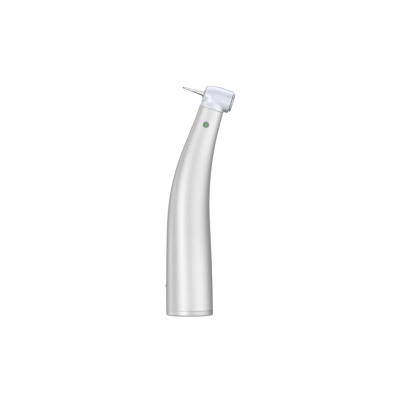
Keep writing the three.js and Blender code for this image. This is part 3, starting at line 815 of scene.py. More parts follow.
# painted shade: a near-black steel for the button's stem, where the gap under its flange lies in
# shade
STEM_PAINTED_SHADE = metal(
    "button_stem_painted_shade", (0.27, 0.27, 0.28), rough=0.35, bump=0.006, tint=0.08)
HEAD_PART_STEEL = metal(
    "turned_steel_head_parts", (0.66, 0.67, 0.68), rough=0.26, bump=0.02,
    lines=(16.0, 0.6, 0.6), tilt=BEND, tint=0.04, wear=0.6)
GEAR_STEEL = metal(
    "hardened_gear_steel", (0.46, 0.48, 0.5), rough=0.3, grain=0.05, grain_scale=12.0,
    bump=0.03, tint=0.08, wear=0.9)
RACE_STEEL = metal(
    "ground_bearing_steel", (0.74, 0.75, 0.77), rough=0.12, grain=0.03, grain_scale=14.0,
    bump=0.01, tint=0.02, wear=0.3)
BRASS = metal(
    "turned_brass", (0.78, 0.6, 0.3), rough=0.24, bump=0.02, lines=(0.8, 0.8, 14.0),
    tint=0.06, wear=0.5)
SPRING_STEEL = metal(
    "tempered_spring_steel", (0.5, 0.5, 0.52), rough=0.22, grain_scale=14.0, bump=0.01,
    tint=0.1, wear=0.6)
# darker towards the tip, and painted shade on the bur's underside and a little on its upper side
BUR_STEEL = metal(
    "ground_bur_steel", (0.955, 0.955, 0.96), rough=0.14, grain=0.03, grain_scale=16.0,
    bump=0.004, lines=(0.5, 12.0, 12.0), tilt=BEND, tint=0.02, wear=0.2, dark=bur_tip_and_painted_shade)
SEAL_RUBBER = plain(
    "seal_rubber_black", (0.035, 0.035, 0.038), rough=0.6, bump=0.02, scale=12.0, tint=0.15)
DOT_ENAMEL = plain(
    "green_dot_enamel", (0.137, 0.252, 0.129), rough=0.22, bump=0.006, scale=5.0, tint=0.06,
    coat=0.5)
OPTIC_GLASS = plain(
    "optic_glass_rod", (0.83, 0.92, 0.88), rough=0.08, bump=0.002, scale=3.0, tint=0.02,
    transmission=0.55, ior=1.52)
BALLS_IN_CAGE = ball_material("balls_in_cage")


# ------------------------------------------------------------------ casing
# Profiles of turned pieces are (radius, height, fillet radius), height along the turning axis.
def outer_sleeve():
    """The long bent sleeve: a thin shell, holed for the dot and the pin."""
    segments = count(192)
    bottom, top = 1.95, SLEEVE_STATIONS[-1, 0]
    lower_round, upper_round, inner_round = 0.06, 0.15, 0.05
    top_wall = 0.66

    def wall(z):
        return 0.8 + (0.62 - 0.8) * z / 88

    rings = []

    def ring(z, inset, shift=0.0):
        rings.append(sleeve_ring(float(z), inset, shift, segments))

    # rounded lower rim, outside, rounded upper rim, then back down the inside
    quarter = [math.pi / 2 * q / 5 for q in range(6)]
    for q in quarter:
        ring(bottom, lower_round * (1 - math.sin(q)), lower_round * (1 - math.cos(q)))
    for z in np.linspace(bottom + lower_round + 0.12, top - 0.3, count(150)):
        ring(z, 0.0)
    for q in quarter:
        ring(top, upper_round * (1 - math.cos(q)), -upper_round * (1 - math.sin(q)))
    for q in quarter[:4]:
        ring(top, top_wall - inner_round * (1 - math.sin(q)), -inner_round * (1 - math.cos(q)))
    for z in np.linspace(top - 0.3, bottom + 0.3, 50):
        ring(z, wall(z))
    ring(bottom, wall(bottom), inner_round)
    ring(bottom, wall(bottom) - inner_round)
    shape = loft(rings, closed=True)
    ob = make("outer_sleeve", shape, "grip", "housing", SLEEVE_STEEL, smooth=None)
    cut(ob, [dot_hole(), pin_hole("pin_hole", -8.0)])


def dot_hole():
    radius = DOT_RADIUS + DOT_CLEARANCE
    points, faces = turned_solid([(0, -7.4), (radius, -7.4), (radius, -4.0), (0, -4.0)], 64)
    points = np.stack([points[:, 0] + DOT_U, points[:, 2], points[:, 1] + DOT_L], 1)
    return cutter("dot_hole", (points, faces), "neck")


def pin_hole(name, inner_end):
    """A cutter along x on the -X side, from outside the sleeve to the inner end."""
    radius = PIN_HOLE_RADIUS
    corners = [(0, -12.0), (radius, -12.0), (radius, inner_end), (0, inner_end)]
    points, faces = turned_solid(corners, 32, "x")
    points[:, 2] += PIN_Z
    return cutter(name, (points, faces), "grip")


outer_sleeve()


def colour_dot():
    """An enamel disc set in the sleeve: it follows the sleeve's curve and has a round rim."""
    segments = 72
    rim_start, rim_width, rim_drop = 1.16, 0.125, 0.09
    front, back = 0.02, 0.5  # depths of the two faces in the sleeve

    def ring(radius, depth):
        angle = 2 * np.pi * np.arange(segments if radius else 1) / segments
        u, l = DOT_U + radius * np.cos(angle), DOT_L + radius * np.sin(angle)
        return np.stack([u, sleeve_surface_y(u, l) + depth, l], 1)

    def drop(radius):
        if radius < rim_start:
            return 0.0
        across = (radius - rim_start) / rim_width
        return rim_drop * (1 - math.sqrt(max(0.0, 1 - across**2)))

    radii = (0.0, 0.2, 0.4, 0.6, 0.8, 0.95, 1.08, 1.16, 1.21, 1.245, 1.268, 1.28, DOT_RADIUS)
    rings = [ring(r, front + drop(r)) for r in radii]
    rings += [ring(r, back) for r in (DOT_RADIUS, 1.0, 0.0)]
    make("colour_dot", skin(rings), "neck", "housing", DOT_ENAMEL, smooth=50)


colour_dot()

rear_ring = turned_ring([
    (8.2, 0.0, 0.12), (10.03, 0.0, 0.1), (10.15, 0.12, 0.1), (10.15, 1.9, 0.04),
    (9.85, 1.9, 0.05), (9.85, 1.45, 0.03), (9.4, 1.45, 0.03), (9.4, 1.75, 0.05),
    (8.2, 1.75, 0.1),
], count(192), arc_steps=5)
make("rear_ring", rear_ring, "grip", "housing", RING_STEEL)

rear_o_ring = turned_ring([
    (9.43, 1.48, 0.14), (9.82, 1.48, 0.14), (9.82, 1.91, 0.2), (9.43, 1.91, 0.2),
], count(160), arc_steps=6)
make("rear_o_ring", rear_o_ring, "grip", "housing", SEAL_RUBBER)


def locating_pin():
    """Pin through sleeve and coupling; its wedge-shaped head stands proud on the -X side."""
    stem, stem_faces = turned_solid(
        [(0, -10.25), (0.76, -10.25, 0.05), (0.76, -8.0, 0.1), (0, -8.0)], 32, "x")
    stem[:, 2] += PIN_Z
    # side outline of the wedge in (z, distance out), carried across y with rounded ends
    outline = np.array(soften([
        (11.58, 9.95, 0.1), (13.58, 9.95, 0.1), (13.55, 10.17, 0.1), (12.1, 10.6, 0.14),
        (11.72, 10.52, 0.1), (11.6, 10.2, 0.1),
    ]))
    half_width = 0.93
    middle = outline.mean(0)
    rows = []
    for q in range(-6, 7):
        angle = q / 6 * math.pi / 2
        y = half_width * math.sin(angle)
        scale = 1 - 0.16 * (1 - math.cos(angle)) ** 2 if abs(q) < 6 else 0.8
        shrunk = middle + (outline - middle) * scale
        rows.append([(-out, y, z) for z, out in shrunk])
    wedge, wedge_faces = loft(rows)
    size = len(outline)
    wedge_faces.append(tuple(range(size))[::-1])
    wedge_faces.append(tuple(range(len(wedge) - size, len(wedge))))
    faces = stem_faces + [tuple(i + len(stem) for i in face) for face in wedge_faces]
    shape = np.concatenate([stem, wedge]), faces
    make("locating_pin", shape, "grip", "housing", PIN_STEEL, smooth=35)


locating_pin()

# ------------------------------------------------------------------ head housing
# Front dome of the barrel: (u, radius about the bur axis)
CROWN = [
    (-5.07, 3.18), (-5.02, 3.39), (-4.88, 3.56), (-4.6, 3.75), (-4.2, 3.96), (-3.7, 4.15),
    (-3.1, 4.35), (-2.5, 4.50), (-1.8, 4.64), (-1.0, 4.745), (-0.2, 4.81), (0.7, 4.84),
]
# The barrel behind the dome, with a rounded rear rim: (u, radius)
BARREL_REAR = [
    (6.75, 4.84), (6.87, 4.825), (6.97, 4.77), (7.05, 4.68), (7.09, 4.57), (7.1, 4.45),
    (7.1, -1.0),
]
# The neck: (l, radius about the neck axis)
NECK_OUTLINE = [
    (-5.47, -1.0), (-5.47, 5.1), (-5.44, 5.2), (-5.37, 5.27), (-5.25, 5.3), (-4.9, 5.3),
    (-4.4, 5.24), (-4.0, 5.15), (-3.6, 5.06), (-2.6, 4.9), (-1.6, 4.75), (-0.8, 4.45),
    (0.0, 3.6), (0.0, -1.0),
]
# The grooved collar that goes into the sleeve: (l, radius about the neck axis)
COLLAR_OUTLINE = [
    (-11, -1), (-11, 4.45), (-10.9, 4.55), (-8.62, 4.55), (-8.55, 4.5), (-8.5, 4.16),
    (-7.9, 4.16), (-7.85, 4.5), (-7.78, 4.55), (-5.2, 4.55), (-5.2, -1),
]


def tube_in_neck(side):
    """u and y of the water (side 1) or air (side -1) tube in the neck."""
    angle = math.radians(TUBE_AZIMUTH)
    return NECK_PIPE_CIRCLE * math.cos(angle), NECK_PIPE_CIRCLE * math.sin(angle) * side


def head_distance():
    crown = catmull_rom([CROWN[0], *CROWN, CROWN[-1]], 6)
    barrel_outline = [(-5.07, -1.0), *crown, *BARREL_REAR]
    barrel = table_distance(barrel_outline, (-8.0, -0.2), (9.0, 8.5))
    neck = table_distance(NECK_OUTLINE, (-12.5, -0.2), (6.5, 9.0))
    collar = table_distance(COLLAR_OUTLINE, (-12.5, -0.2), (6.5, 9.0))

    def distance(p):
        u, y, l = p[:, 0], p[:, 1], p[:, 2]
        from_bur, from_neck = np.sqrt(y * y + l * l), np.sqrt(u * u + y * y)
        # the blend of barrel and neck is tight at the front, wide in the middle
        s = np.clip((u + 4.4) / 3.4, 0, 1)
        e = np.clip((u - 2.2) / 2.4, 0, 1)
        blend = 0.05 + 1.25 * s * s * (3 - 2 * s) - 0.85 * e * e * (3 - 2 * e)
        d = smooth_min(barrel(u, from_bur), neck(l, from_neck), blend)
        d = np.minimum(d, collar(l, from_neck))
        # bores on the bur axis: chamber, rear thread, front opening, front recess
        d = carve(d, 0.08, from_bur - 3.56, -u - 4.4)
        d = carve(d, 0.14, from_bur - 4.17, 4.85 - u)
        d = carve(d, 0.1, from_bur - 2.05, u + 3.0)
        d = carve(d, 0.12, from_bur - 3.0, u + 4.72)
        # bore on the neck axis, then the light rod's bore
        d = carve(d, 0.08, from_neck - 2.76, l)
        from_rod = np.sqrt((u + NECK_PIPE_CIRCLE) ** 2 + y * y)
        d = carve(d, 0.06, from_rod - 0.75, l + 4.5)
        # slot for the light window, through the front of the neck
        d = carve(d, 0.1, np.abs(y) - 0.93, np.abs(l + 4.235) - 0.5, u + 2.9)
        for side in (1, -1):
            tube_u, tube_y = tube_in_neck(side)
            from_tube = np.sqrt((u - tube_u) ** 2 + (y - tube_y) ** 2)
            d = carve(d, 0.05, from_tube - 0.62, l + 5.7)
        return d

    return distance


head_housing = surface(
    head_distance(), (-5.7, -5.7, -11.3), (7.4, 5.7, 5.3), cell_size(0.105))
make("head_housing", head_housing, "neck", "housing", HEAD_CHROME)

sleeve_o_ring = turned_ring([
    (4.2, -8.42, 0.14), (4.52, -8.42, 0.2), (4.52, -7.98, 0.2), (4.2, -7.98, 0.14),
], count(96), arc_steps=6)
make("sleeve_o_ring", sleeve_o_ring, "neck", "housing", SEAL_RUBBER)


def light_window():
    """Lens in front of the light rod: a rounded slot whose outside is crowned."""
    half_width, half_height, corner = 0.87, 0.45, 0.3
    middle_l = -4.24
    dy, dl = half_width - corner, half_height - corner
    outline = []
    for y, l, start in ((dy, dl, 0), (-dy, dl, 90), (-dy, -dl, 180), (dy, -dl, 270)):
        for q in range(9):
            angle = math.radians(start + 90 * q / 8)
            outline.append((y + corner * math.cos(angle), l + corner * math.sin(angle)))
    # scale of the outline, u
    layers = (
        (0.0, -5.0), (0.35, -4.995), (0.7, -4.975), (0.88, -4.94), (0.96, -4.89),
        (1.0, -4.82), (1.0, -3.3), (0.9, -3.12), (0.0, -3.1),
    )
    rings = [
        [(u, y * scale, middle_l + l * scale) for y, l in (outline if scale else outline[:1])]
        for scale, u in layers
    ]
    make("light_window", skin(rings), "neck", "housing", OPTIC_GLASS, smooth=40)


light_window()


def spray_ring():
    """Ring in the front face, with four flared holes."""
    hole_circle, hole_radius = 2.52, 0.15
    section_outline = [
        (-5.07, 2.16), (-5.0, 2.09), (-4.78, 2.09), (-4.77, 2.1), (-4.77, 2.95),
        (-4.99, 2.95), (-5.07, 2.87),
    ]
    ring = table_distance(section_outline, (-6.0, 0.5), (-3.8, 4.5), 0.02)

    def distance(p):
        u, y, l = p[:, 0], p[:, 1], p[:, 2]
        d = ring(u, np.sqrt(y * y + l * l))
        for angle in (45, 135, 225, 315):
            hole_y = hole_circle * math.cos(math.radians(angle))
            hole_l = hole_circle * math.sin(math.radians(angle))
            from_hole = np.sqrt((y - hole_y) ** 2 + (l - hole_l) ** 2)
            d = carve(d, 0.03, from_hole - hole_radius - 0.6 * np.maximum(-4.97 - u, 0))
        return d

    shape = surface(distance, (-5.2, -3.1, -3.1), (-4.65, 3.1, 3.1), cell_size(0.06))
    make("spray_ring", shape, "neck", "housing", HEAD_PART_STEEL)


spray_ring()

head_cap_ring = turned_ring([
    (3.35, 4.9, 0.03), (4.12, 4.9, 0.1), (4.12, 6.5, 0.12), (3.44, 6.5, 0.06),
    (3.44, 6.08, 0.04), (3.74, 6.08, 0.04), (3.74, 5.02, 0.04), (3.35, 5.02, 0.03),
], count(128), "x")
make("head_cap_ring", head_cap_ring, "neck", "housing", CAP_CHROME)

front_tube = turned_ring([
    (1.5, -44.2, 0.1), (2.7, -44.2, 0.12), (2.7, -7.5, 0.12), (1.5, -7.5, 0.1),
], count(64))
make("front_tube", front_tube, "neck", "housing", TURNED_STEEL)


def push_button():
    """Button with a rolled edge, a dished face with a fine ring groove, and a stem painted dark as
    shade.
    """
    stem_end = 7.26  # faces below this u take the stem's material, a painted shade
    shape = turned_solid([
        (0, 7.955), (1.2, 7.965, 0.6), (2.45, 8.02, 0.3), (2.52, 7.96, 0.03),
        (2.62, 7.96, 0.03), (2.7, 8.06, 0.06), (3.3, 8.04, 0.2), (3.72, 7.94, 0.15),
        (4.03, 7.7, 0.12), (4.03, 7.2, 0.08), (3.39, 7.2, 0.05), (3.39, 6.02, 0.03),
        (3.66, 6.0, 0.06), (3.66, 5.7, 0.06), (2.98, 5.7, 0.06), (2.98, 7.35, 0.1),
        (2.6, 7.6, 0.1), (0, 7.6),
    ], count(128), "x")
    button = make("push_button", shape, "neck", "button", BUTTON_CHROME)
    # the second material paints shade on the stem
    button.data.materials.append(STEM_PAINTED_SHADE)
    for polygon in button.data.polygons:
        centre = np.array(polygon.center) * 1000.0 - HEAD
        if centre @ AXIS_U < stem_end:
            polygon.material_index = 1


push_button()

release_cone = turned_ring([
    (1.3, 7.57, 0.02), (2.3, 7.57, 0.05), (2.3, 7.3, 0.05), (1.9, 7.2, 0.05),
    (1.9, 6.9, 0.1), (1.42, 5.95, 0.04), (1.3, 5.95, 0.03),
], count(64), "x")
make("release_cone", release_cone, "neck", "button", BRASS)

# wave washer with three crests
button_spring = turned_ring([
    (3.1, 5.29, 0.04), (3.6, 5.29, 0.04), (3.6, 5.41, 0.04), (3.1, 5.41, 0.04),
], count(96), "x", wave=lambda angle, r, h: (r, h + 0.2 * math.sin(3 * angle)))
ob = make("button_spring", button_spring, "neck", "housing", SPRING_STEEL)
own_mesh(ob)

# ------------------------------------------------------------------ chuck
chuck_spindle = turned_ring([
    (1.22, -5.45, 0.05), (1.62, -5.45, 0.08), (1.75, -5.3, 0.1), (1.75, -4.4, 0.02),
    (1.85, -4.38, 0.02), (1.85, 4.8, 0.05), (1.22, 4.8, 0.05),
], count(80), "x")
make("chuck_spindle", chuck_spindle, "neck", "chuck", HEAD_PART_STEEL)

# Bevel pair at the bend (grip to neck) and at the head (neck to chuck):
# teeth, module, cone angles and cone lengths
PINION_TEETH, DRIVEN_TEETH, BEND_MODULE = 12, 16, 0.33
FRONT_TEETH, HEAD_TEETH, HEAD_MODULE = 10, 15, 0.42
PINION_CONE = math.atan(math.sin(BEND) / (DRIVEN_TEETH / PINION_TEETH + math.cos(BEND)))
DRIVEN_CONE = BEND - PINION_CONE
BEND_CONE_LENGTH = (BEND_MODULE * PINION_TEETH) / 2 / math.sin(PINION_CONE)
FRONT_CONE = math.atan(FRONT_TEETH / HEAD_TEETH)
HEAD_CONE = math.pi / 2 - FRONT_CONE
HEAD_CONE_LENGTH = (HEAD_MODULE * FRONT_TEETH) / 2 / math.sin(FRONT_CONE)
# where the grip axis meets the neck axis, which is the apex of the bend pair
APEX_Z = HEAD[2] - HEAD_FROM_GRIP / math.tan(BEND)
APEX_L = -HEAD_FROM_GRIP / math.sin(BEND)


def tooth_height(across):
    """Share of the full tooth height at a place across the pitch, -0.5 to 0.5."""
    tip_half, root_half = 0.1, 0.29
    if abs(across) < tip_half:
        return 1.0
    if abs(across) > root_half:
        return 0.0
    return min(1.0, (root_half - abs(across)) / 0.19 * 1.08)


def bevel_gear(teeth, module, cone, length, face, bore, back, back_radius, phase=0.0):
    """Straight bevel gear about z with its apex at the origin and its teeth towards +z.
    length and face run along the cone; back is the height of the rear face."""
    steps = 14  # points per tooth
    root, tip, end_tip = 1.13, 0.8, 0.7  # depth and heights from the pitch cone, in modules
    bevel, chamfer = 0.05, 0.04
    s, c = math.sin(cone), math.cos(cone)
    across = [(q + 0.5) / steps - 0.5 for q in range(steps)]
    heights = [tooth_height(a) for a in across]
    pitch = 2 * math.pi / teeth
    angles = [phase + (tooth + a) * pitch for tooth in range(teeth) for a in across]

    def toothed(distance, tip=tip):
        scale = distance / length
        ring = []
        for i, angle in enumerate(angles):
            offset = (-root + (tip + root) * heights[i % steps]) * module * scale
            r = distance * s + offset * c
            ring.append((r * math.cos(angle), r * math.sin(angle), -(distance * c - offset * s)))
        return ring

    def circle(r, height):
        return [(r * math.cos(angle), r * math.sin(angle), height) for angle in angles]

    inner = length - face
    front = -(inner * c + root * module * (inner / length) * s)
    return loft([
        circle(bore, front),
        circle(bore + chamfer, front),
        toothed(inner, end_tip),
        toothed(inner + bevel),
        toothed(length - face * 0.5),
        toothed(length - bevel),
        toothed(length, end_tip),
        circle(back_radius, back + 0.03),
        circle(back_radius - chamfer, back),
        circle(bore + chamfer, back),
        circle(bore, back + chamfer),
    ], closed=True)


points, faces = bevel_gear(
    HEAD_TEETH, HEAD_MODULE, HEAD_CONE, HEAD_CONE_LENGTH, face=1.1, bore=1.92, back=-3.2,
    back_radius=3.0)
head_gear = -points[:, ::-1], faces  # turned so that the teeth look along -u
make("head_gear", head_gear, "neck", "chuck", GEAR_STEEL, smooth=35)


def jaw_carrier():
    """Disc at the rear of the spindle, with a flat-sided hole and a slot for the jaws."""

    def distance(p):
        u, y, l = p[:, 0], p[:, 1], p[:, 2]
        radial = np.sqrt(y * y + l * l)
        d = smooth_max(radial - 2.72, np.abs(u - 5.375) - 0.505, 0.1)
        d = carve(d, 0.06, radial - 1.78, 5.3 - u)
        d = carve(d, 0.04, radial - 1.24, y - 0.73)
        return carve(d, 0.05, np.abs(y) - 0.88, 5.18 - u, radial - 2.52)

    shape = surface(distance, (4.75, -2.9, -2.9), (6.0, 2.9, 2.9), cell_size(0.07))
    make("jaw_carrier", shape, "neck", "chuck", HEAD_PART_STEEL)


jaw_carrier()


def chuck_jaw(name, side):
    """A jaw on the +l (side 1) or -l (side -1) side of the bur."""
    # (u, radius)
    outline = [(5.22, 1.2), (5.36, 1.2), (5.42, 1.24), (5.86, 1.48), (5.86, 2.15), (5.22, 2.15)]
    profile = table_distance(outline, (4.8, 0.2), (6.3, 3.0), 0.02)

    def distance(p):
        u, y, l = p[:, 0], p[:, 1], p[:, 2] * side
        d = smooth_max(profile(u, np.sqrt(y * y + l * l)), np.abs(y) - 0.84, 0.05)
        return smooth_max(d, 0.5 - l, 0.05)

    low_l, high_l = (0.3, 2.3) if side > 0 else (-2.3, -0.3)
    shape = surface(distance, (5.1, -1.0, low_l), (6.0, 1.0, high_l), cell_size(0.045))
    make(f"chuck_jaw_{name}", shape, "neck", f"{name}_jaw", GEAR_STEEL)


def jaw_spring(name, side):
    """Arched leaf spring outside a jaw."""
    steps, width, arch, half_thickness = 25, 1.24, 0.18, 0.035
    rows = []
    for q in range(steps):
        y = -0.62 + width * q / (steps - 1)
        rows.append((y, 2.24 + arch * math.cos(math.pi * y / width) ** 1.5))
    outline = [(y, l + half_thickness) for y, l in rows]
    outline += [(y, l - half_thickness) for y, l in rows[::-1]]
    # u, scale across y
    layers = ((5.3, 0.985), (5.32, 1.0), (5.73, 1.0), (5.75, 0.985))
    points, faces = loft([[(u, y * k, l * side) for y, l in outline] for u, k in layers])
    size = len(outline)
    for k in (0, 3):
        for i in range(steps - 1):
            a, b = k * size + i, (k + 1) * size - 1 - i
            quad = (a, a + 1, b - 1, b)
            faces.append(quad if k else quad[::-1])
    ob = make(f"jaw_spring_{name}", (points, faces), "neck", "chuck",
              SPRING_STEEL, smooth=35)
    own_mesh(ob)


JAW_SIDES = (("upper", 1), ("lower", -1))
for name, side in JAW_SIDES:
    chuck_jaw(name, side)
for name, side in JAW_SIDES:
    jaw_spring(name, side)


def bur():
    """Tapered bur: six shallow helical flutes, then a plain shank with latch groove and flat."""
    tip_radius, neck_radius = 0.36, 0.93
    flutes, twist, depth = 6, 0.32, 0.06  # twist in radians per mm, depth as a share of radius
    flat_from, flat_y = 2.6, 0.64
    nose = [
        (0, BUR_TIP), (0.14, BUR_TIP + 0.012, 0.05), (0.27, BUR_TIP + 0.08, 0.06),
        (tip_radius, BUR_TIP + 0.3, 0.1),
    ]
    taper = [
        (tip_radius + (neck_radius - tip_radius) * t, BUR_TIP + 0.3 + 8.15 * t)
        for t in np.linspace(0.02, 1, 60)
    ]
    shank = [
        (1.0, -5.95, 0.1), (1.165, -5.6, 0.1), (1.165, 3.95, 0.03), (0.85, 4.0, 0.03),
        (0.85, 4.7, 0.03), (1.165, 4.75, 0.03), (1.165, 6.45, 0.05), (1.0, 6.65, 0.08),
        (0, 6.65),
    ]

    def flute(angle, r, h):
        fade = min(1.0, max(0.0, (h - BUR_TIP - 0.15) / 0.5))
        fade *= min(1.0, max(0.0, (-7.2 - h) / 0.9))
        if fade <= 0:
            return r, h
        phase = flutes * (angle + (h - BUR_TIP) * twist)
        s = (phase / (2 * math.pi)) % 1.0
        # a land, then a hollow behind it
        hollow = math.sin(math.pi * s / 0.9) ** 0.8 if s < 0.9 else 0.0
        return r * (1 - depth * fade * hollow), h

    profile = soften(nose + taper + shank, closed=False)
    points, faces = lathe(profile, count(96), "x", False, flute)
    flat = points[:, 0] > flat_from
    points[flat, 1] = np.minimum(points[flat, 1], flat_y)
    make("bur", (points, faces), "neck", "bur", BUR_STEEL, smooth=40)


bur()

# ------------------------------------------------------------------ drive
drive_shaft = turned_solid([
    (0, 17.4), (1.2, 17.4, 0.05), (1.48, 17.7, 0.05), (1.48, 42.2, 0.05),
    (0.98, 42.3, 0.05), (0.98, 46.2, 0.1), (0, 46.2),
], count(64))
make("drive_shaft", drive_shaft, "grip", "drive_train", GEAR_STEEL)

shaft_spacer = turned_ring([
    (1.53, 29.1, 0.06), (2.05, 29.1, 0.06), (2.05, 37.9, 0.06), (1.53, 37.9, 0.06),
], count(64))
make("shaft_spacer", shaft_spacer, "grip", "drive_train", BRASS)

points, faces = bevel_gear(
    PINION_TEETH, BEND_MODULE, PINION_CONE, BEND_CONE_LENGTH, face=2.0, bore=1.02,
    back=-(BEND_CONE_LENGTH * math.cos(PINION_CONE) + 0.9), back_radius=1.5)
drive_pinion = points + np.array([0, 0, APEX_Z]), faces
make("drive_pinion", drive_pinion, "grip", "drive_train", GEAR_STEEL, smooth=35)


def drive_dog():
    """Cylinder on the lower end of the drive shaft, bored through and slotted below."""

    def distance(p):
        x, y, z = p[:, 0], p[:, 1], p[:, 2]
        radial = np.sqrt(x * x + y * y)
        d = smooth_max(radial - 2.3, np.abs(z - 17.5) - 3.0, 0.16)
        d = carve(d, 0.06, radial - 1.53, 17.3 - z)
        d = carve(d, 0.06, radial - 1.53, z - 17.0)
        return carve(d, 0.16, np.abs(y) - 0.85, z - 16.8)

    shape = surface(distance, (-2.5, -2.5, 14.3), (2.5, 2.5, 20.7), cell_size(0.085))
    make("drive_dog", shape, "grip", "drive_train", TURNED_STEEL)


drive_dog()

front_shaft = turned_solid([
    (0, APEX_L - 15.9), (0.9, APEX_L - 15.9, 0.05), (0.98, APEX_L - 15.8, 0.03),
    (0.98, -44.45, 0.03), (1.25, -44.4, 0.03), (1.25, -7.4, 0.03), (0.98, -7.35, 0.03),
    (0.98, -5.3, 0.03), (0.72, -5.2, 0.03), (0.72, -2.45, 0.08), (0, -2.45),
], count(56))
make("front_shaft", front_shaft, "neck", "front_train", GEAR_STEEL)

points, faces = bevel_gear(
    DRIVEN_TEETH, BEND_MODULE, DRIVEN_CONE, BEND_CONE_LENGTH, face=2.0, bore=1.02,
    back=-(BEND_CONE_LENGTH * math.cos(DRIVEN_CONE) + 0.7), back_radius=2.1,
    phase=math.pi / DRIVEN_TEETH)
driven_gear = points + np.array([0, 0, APEX_L]), faces
make("driven_gear", driven_gear, "neck", "front_train", GEAR_STEEL, smooth=35)

front_pinion = bevel_gear(
    FRONT_TEETH, HEAD_MODULE, FRONT_CONE, HEAD_CONE_LENGTH, face=1.1, bore=0.75, back=-5.15,
    back_radius=1.5, phase=math.pi / FRONT_TEETH)
make("front_pinion", front_pinion, "neck", "front_train", GEAR_STEEL, smooth=35)

# ------------------------------------------------------------------ bearings
# radii of a bearing: inner race inside and outside, outer race inside and outside
HEAD_RACES = (1.9, 2.2, 3.15, 3.5)
FRONT_RACES = (1.0, 1.35, 2.3, 2.7)
DRIVE_RACES = (1.5, 1.95, 3.05, 3.5)
# name, radii, ends along the axis, balls, axis, frame, body of the inner race
BEARINGS = [
    ("head_front", HEAD_RACES, (-4.36, -2.86), 9, "x", "neck", "chuck"),
    ("head_rear", HEAD_RACES, (3.3, 4.8), 9, "x", "neck", "chuck"),
    ("front_shaft_upper", FRONT_RACES, (-7.3, -5.5), 7, "z", "neck", "front_train"),
    ("front_shaft_lower", FRONT_RACES, (-46.3, -44.5), 7, "z", "neck", "front_train"),
    ("drive_shaft_front", DRIVE_RACES, (38, 40), 7, "z", "grip", "drive_train"),
    ("drive_shaft_rear", DRIVE_RACES, (27, 29), 7, "z", "grip", "drive_train"),
]


def bearing(name, radii, ends, balls, along, where, inner_body):
    r0, r1, r2, r3 = radii
    h0, h1 = ends
    middle = (h0 + h1) / 2
    pitch, ball_radius = (r1 + r2) / 2, (r2 - r1) / 2 - 0.05
    # ball groove: (height from the middle in ball radii, depth)
    groove = [
        (middle + ball_radius * share, depth)
        for share, depth in ((-0.75, 0.0), (-0.4, 0.06), (0, 0.085), (0.4, 0.06), (0.75, 0.0))
    ]
    inner = turned_ring([
        (r0, h0, 0.06), (r1, h0, 0.05), *[(r1 - depth, h, 0.2) for h, depth in groove],
        (r1, h1, 0.05), (r0, h1, 0.06),
    ], count(64), along)
    make(f"{name}_inner_race", inner, where, inner_body, RACE_STEEL)
    outer = turned_ring([
        (r2, h0, 0.05), (r3, h0, 0.08), (r3, h1, 0.08), (r2, h1, 0.05),
        *[(r2 + depth, h, 0.2) for h, depth in groove[::-1]],
    ], count(80), along)
    make(f"{name}_outer_race", outer, where, "housing", RACE_STEEL)

    angles = [2 * math.pi * i / balls for i in range(balls)]
    centres = np.array([(pitch * math.cos(a), pitch * math.sin(a), middle) for a in angles])

    def distance(p):
        radial = np.sqrt(p[:, 0] ** 2 + p[:, 1] ** 2)
        cage = smooth_max(np.abs(radial - pitch) - 0.12, np.abs(p[:, 2] - middle) - 0.3, 0.05)
        ball = np.full(len(p), 1e9)
        for c in centres:
            ball = np.minimum(ball, np.sqrt(((p - c) ** 2).sum(1)) - ball_radius)
        return np.minimum(cage, ball)

    reach = pitch + ball_radius + 0.15
    low = (-reach, -reach, middle - ball_radius - 0.15)
    high = (reach, reach, middle + ball_radius + 0.15)
    points, faces, normals = surface(distance, low, high, cell_size(0.075))
    nearest = np.min([np.sqrt(((points - c) ** 2).sum(1)) for c in centres], axis=0)
    is_ball = nearest < ball_radius + 0.02
    if along == "x":  # z becomes u
        points, normals = (v[:, [2, 1, 0]] * np.array([1, 1, -1]) for v in (points, normals))
    ob = make(f"{name}_ball_set", (points, faces, normals), where, f"{name}_balls",
              BALLS_IN_CAGE)
    attribute = ob.data.attributes.new("ball", "FLOAT", "POINT")
    attribute.data.foreach_set("value", is_ball.astype(np.float32))


for name, *sizes in BEARINGS:
    bearing(f"{name}_bearing", *sizes)


# ------------------------------------------------------------------ coupling end and pipes
def coupling_sleeve():
    """Stepped sleeve inside the grip, bored for the rod, the tubes and the pin."""
    shape = turned_ring([
        (8.05, 1.85, 0.1), (9.05, 1.85, 0.1), (9.05, 11.4, 0.1), (8.4, 12, 0.1),
        (8.4, 27, 0.1), (5.02, 27, 0.05), (5.02, 30.2, 0.1), (3.56, 30.2, 0.08),
        (3.56, 29.75, 0.03), (4.1, 29.75, 0.03), (4.1, 29.1, 0.03), (3.56, 29.1, 0.03),
        (3.56, 26.95, 0.03), (2.8, 26.95, 0.05), (2.8, 24, 0.15), (6.5, 24, 0.15),
        (6.5, 14.1, 0.05), (7.0, 13.9, 0.08), (7.0, 13.0, 0.08), (6.5, 12.8, 0.05),
        (6.5, 9.6, 0.2), (8.05, 8, 0.2),
    ], count(144))
    ob = make("coupling_sleeve", shape, "grip", "housing", TURNED_STEEL)
    tools = []
    centre_x = float(section(18)[0][0])
    bores = ((ROD_AZIMUTH, 0.85), (TUBE_AZIMUTH, 0.65), (-TUBE_AZIMUTH, 0.65))
    for i, (azimuth, radius) in enumerate(bores):
        points, faces = turned_solid([(0, 10.4), (radius, 10.4), (radius, 32), (0, 32)], 40)
        angle = math.radians(azimuth)
        points = points + np.array([
            centre_x + GRIP_PIPE_CIRCLE * math.cos(angle), GRIP_PIPE_CIRCLE * math.sin(angle), 0
        ])
        tools.append(cutter(f"pipe_{i}", (points, faces), "grip"))
    tools.append(pin_hole("pin", -7.9))
    cut(ob, tools)


coupling_sleeve()


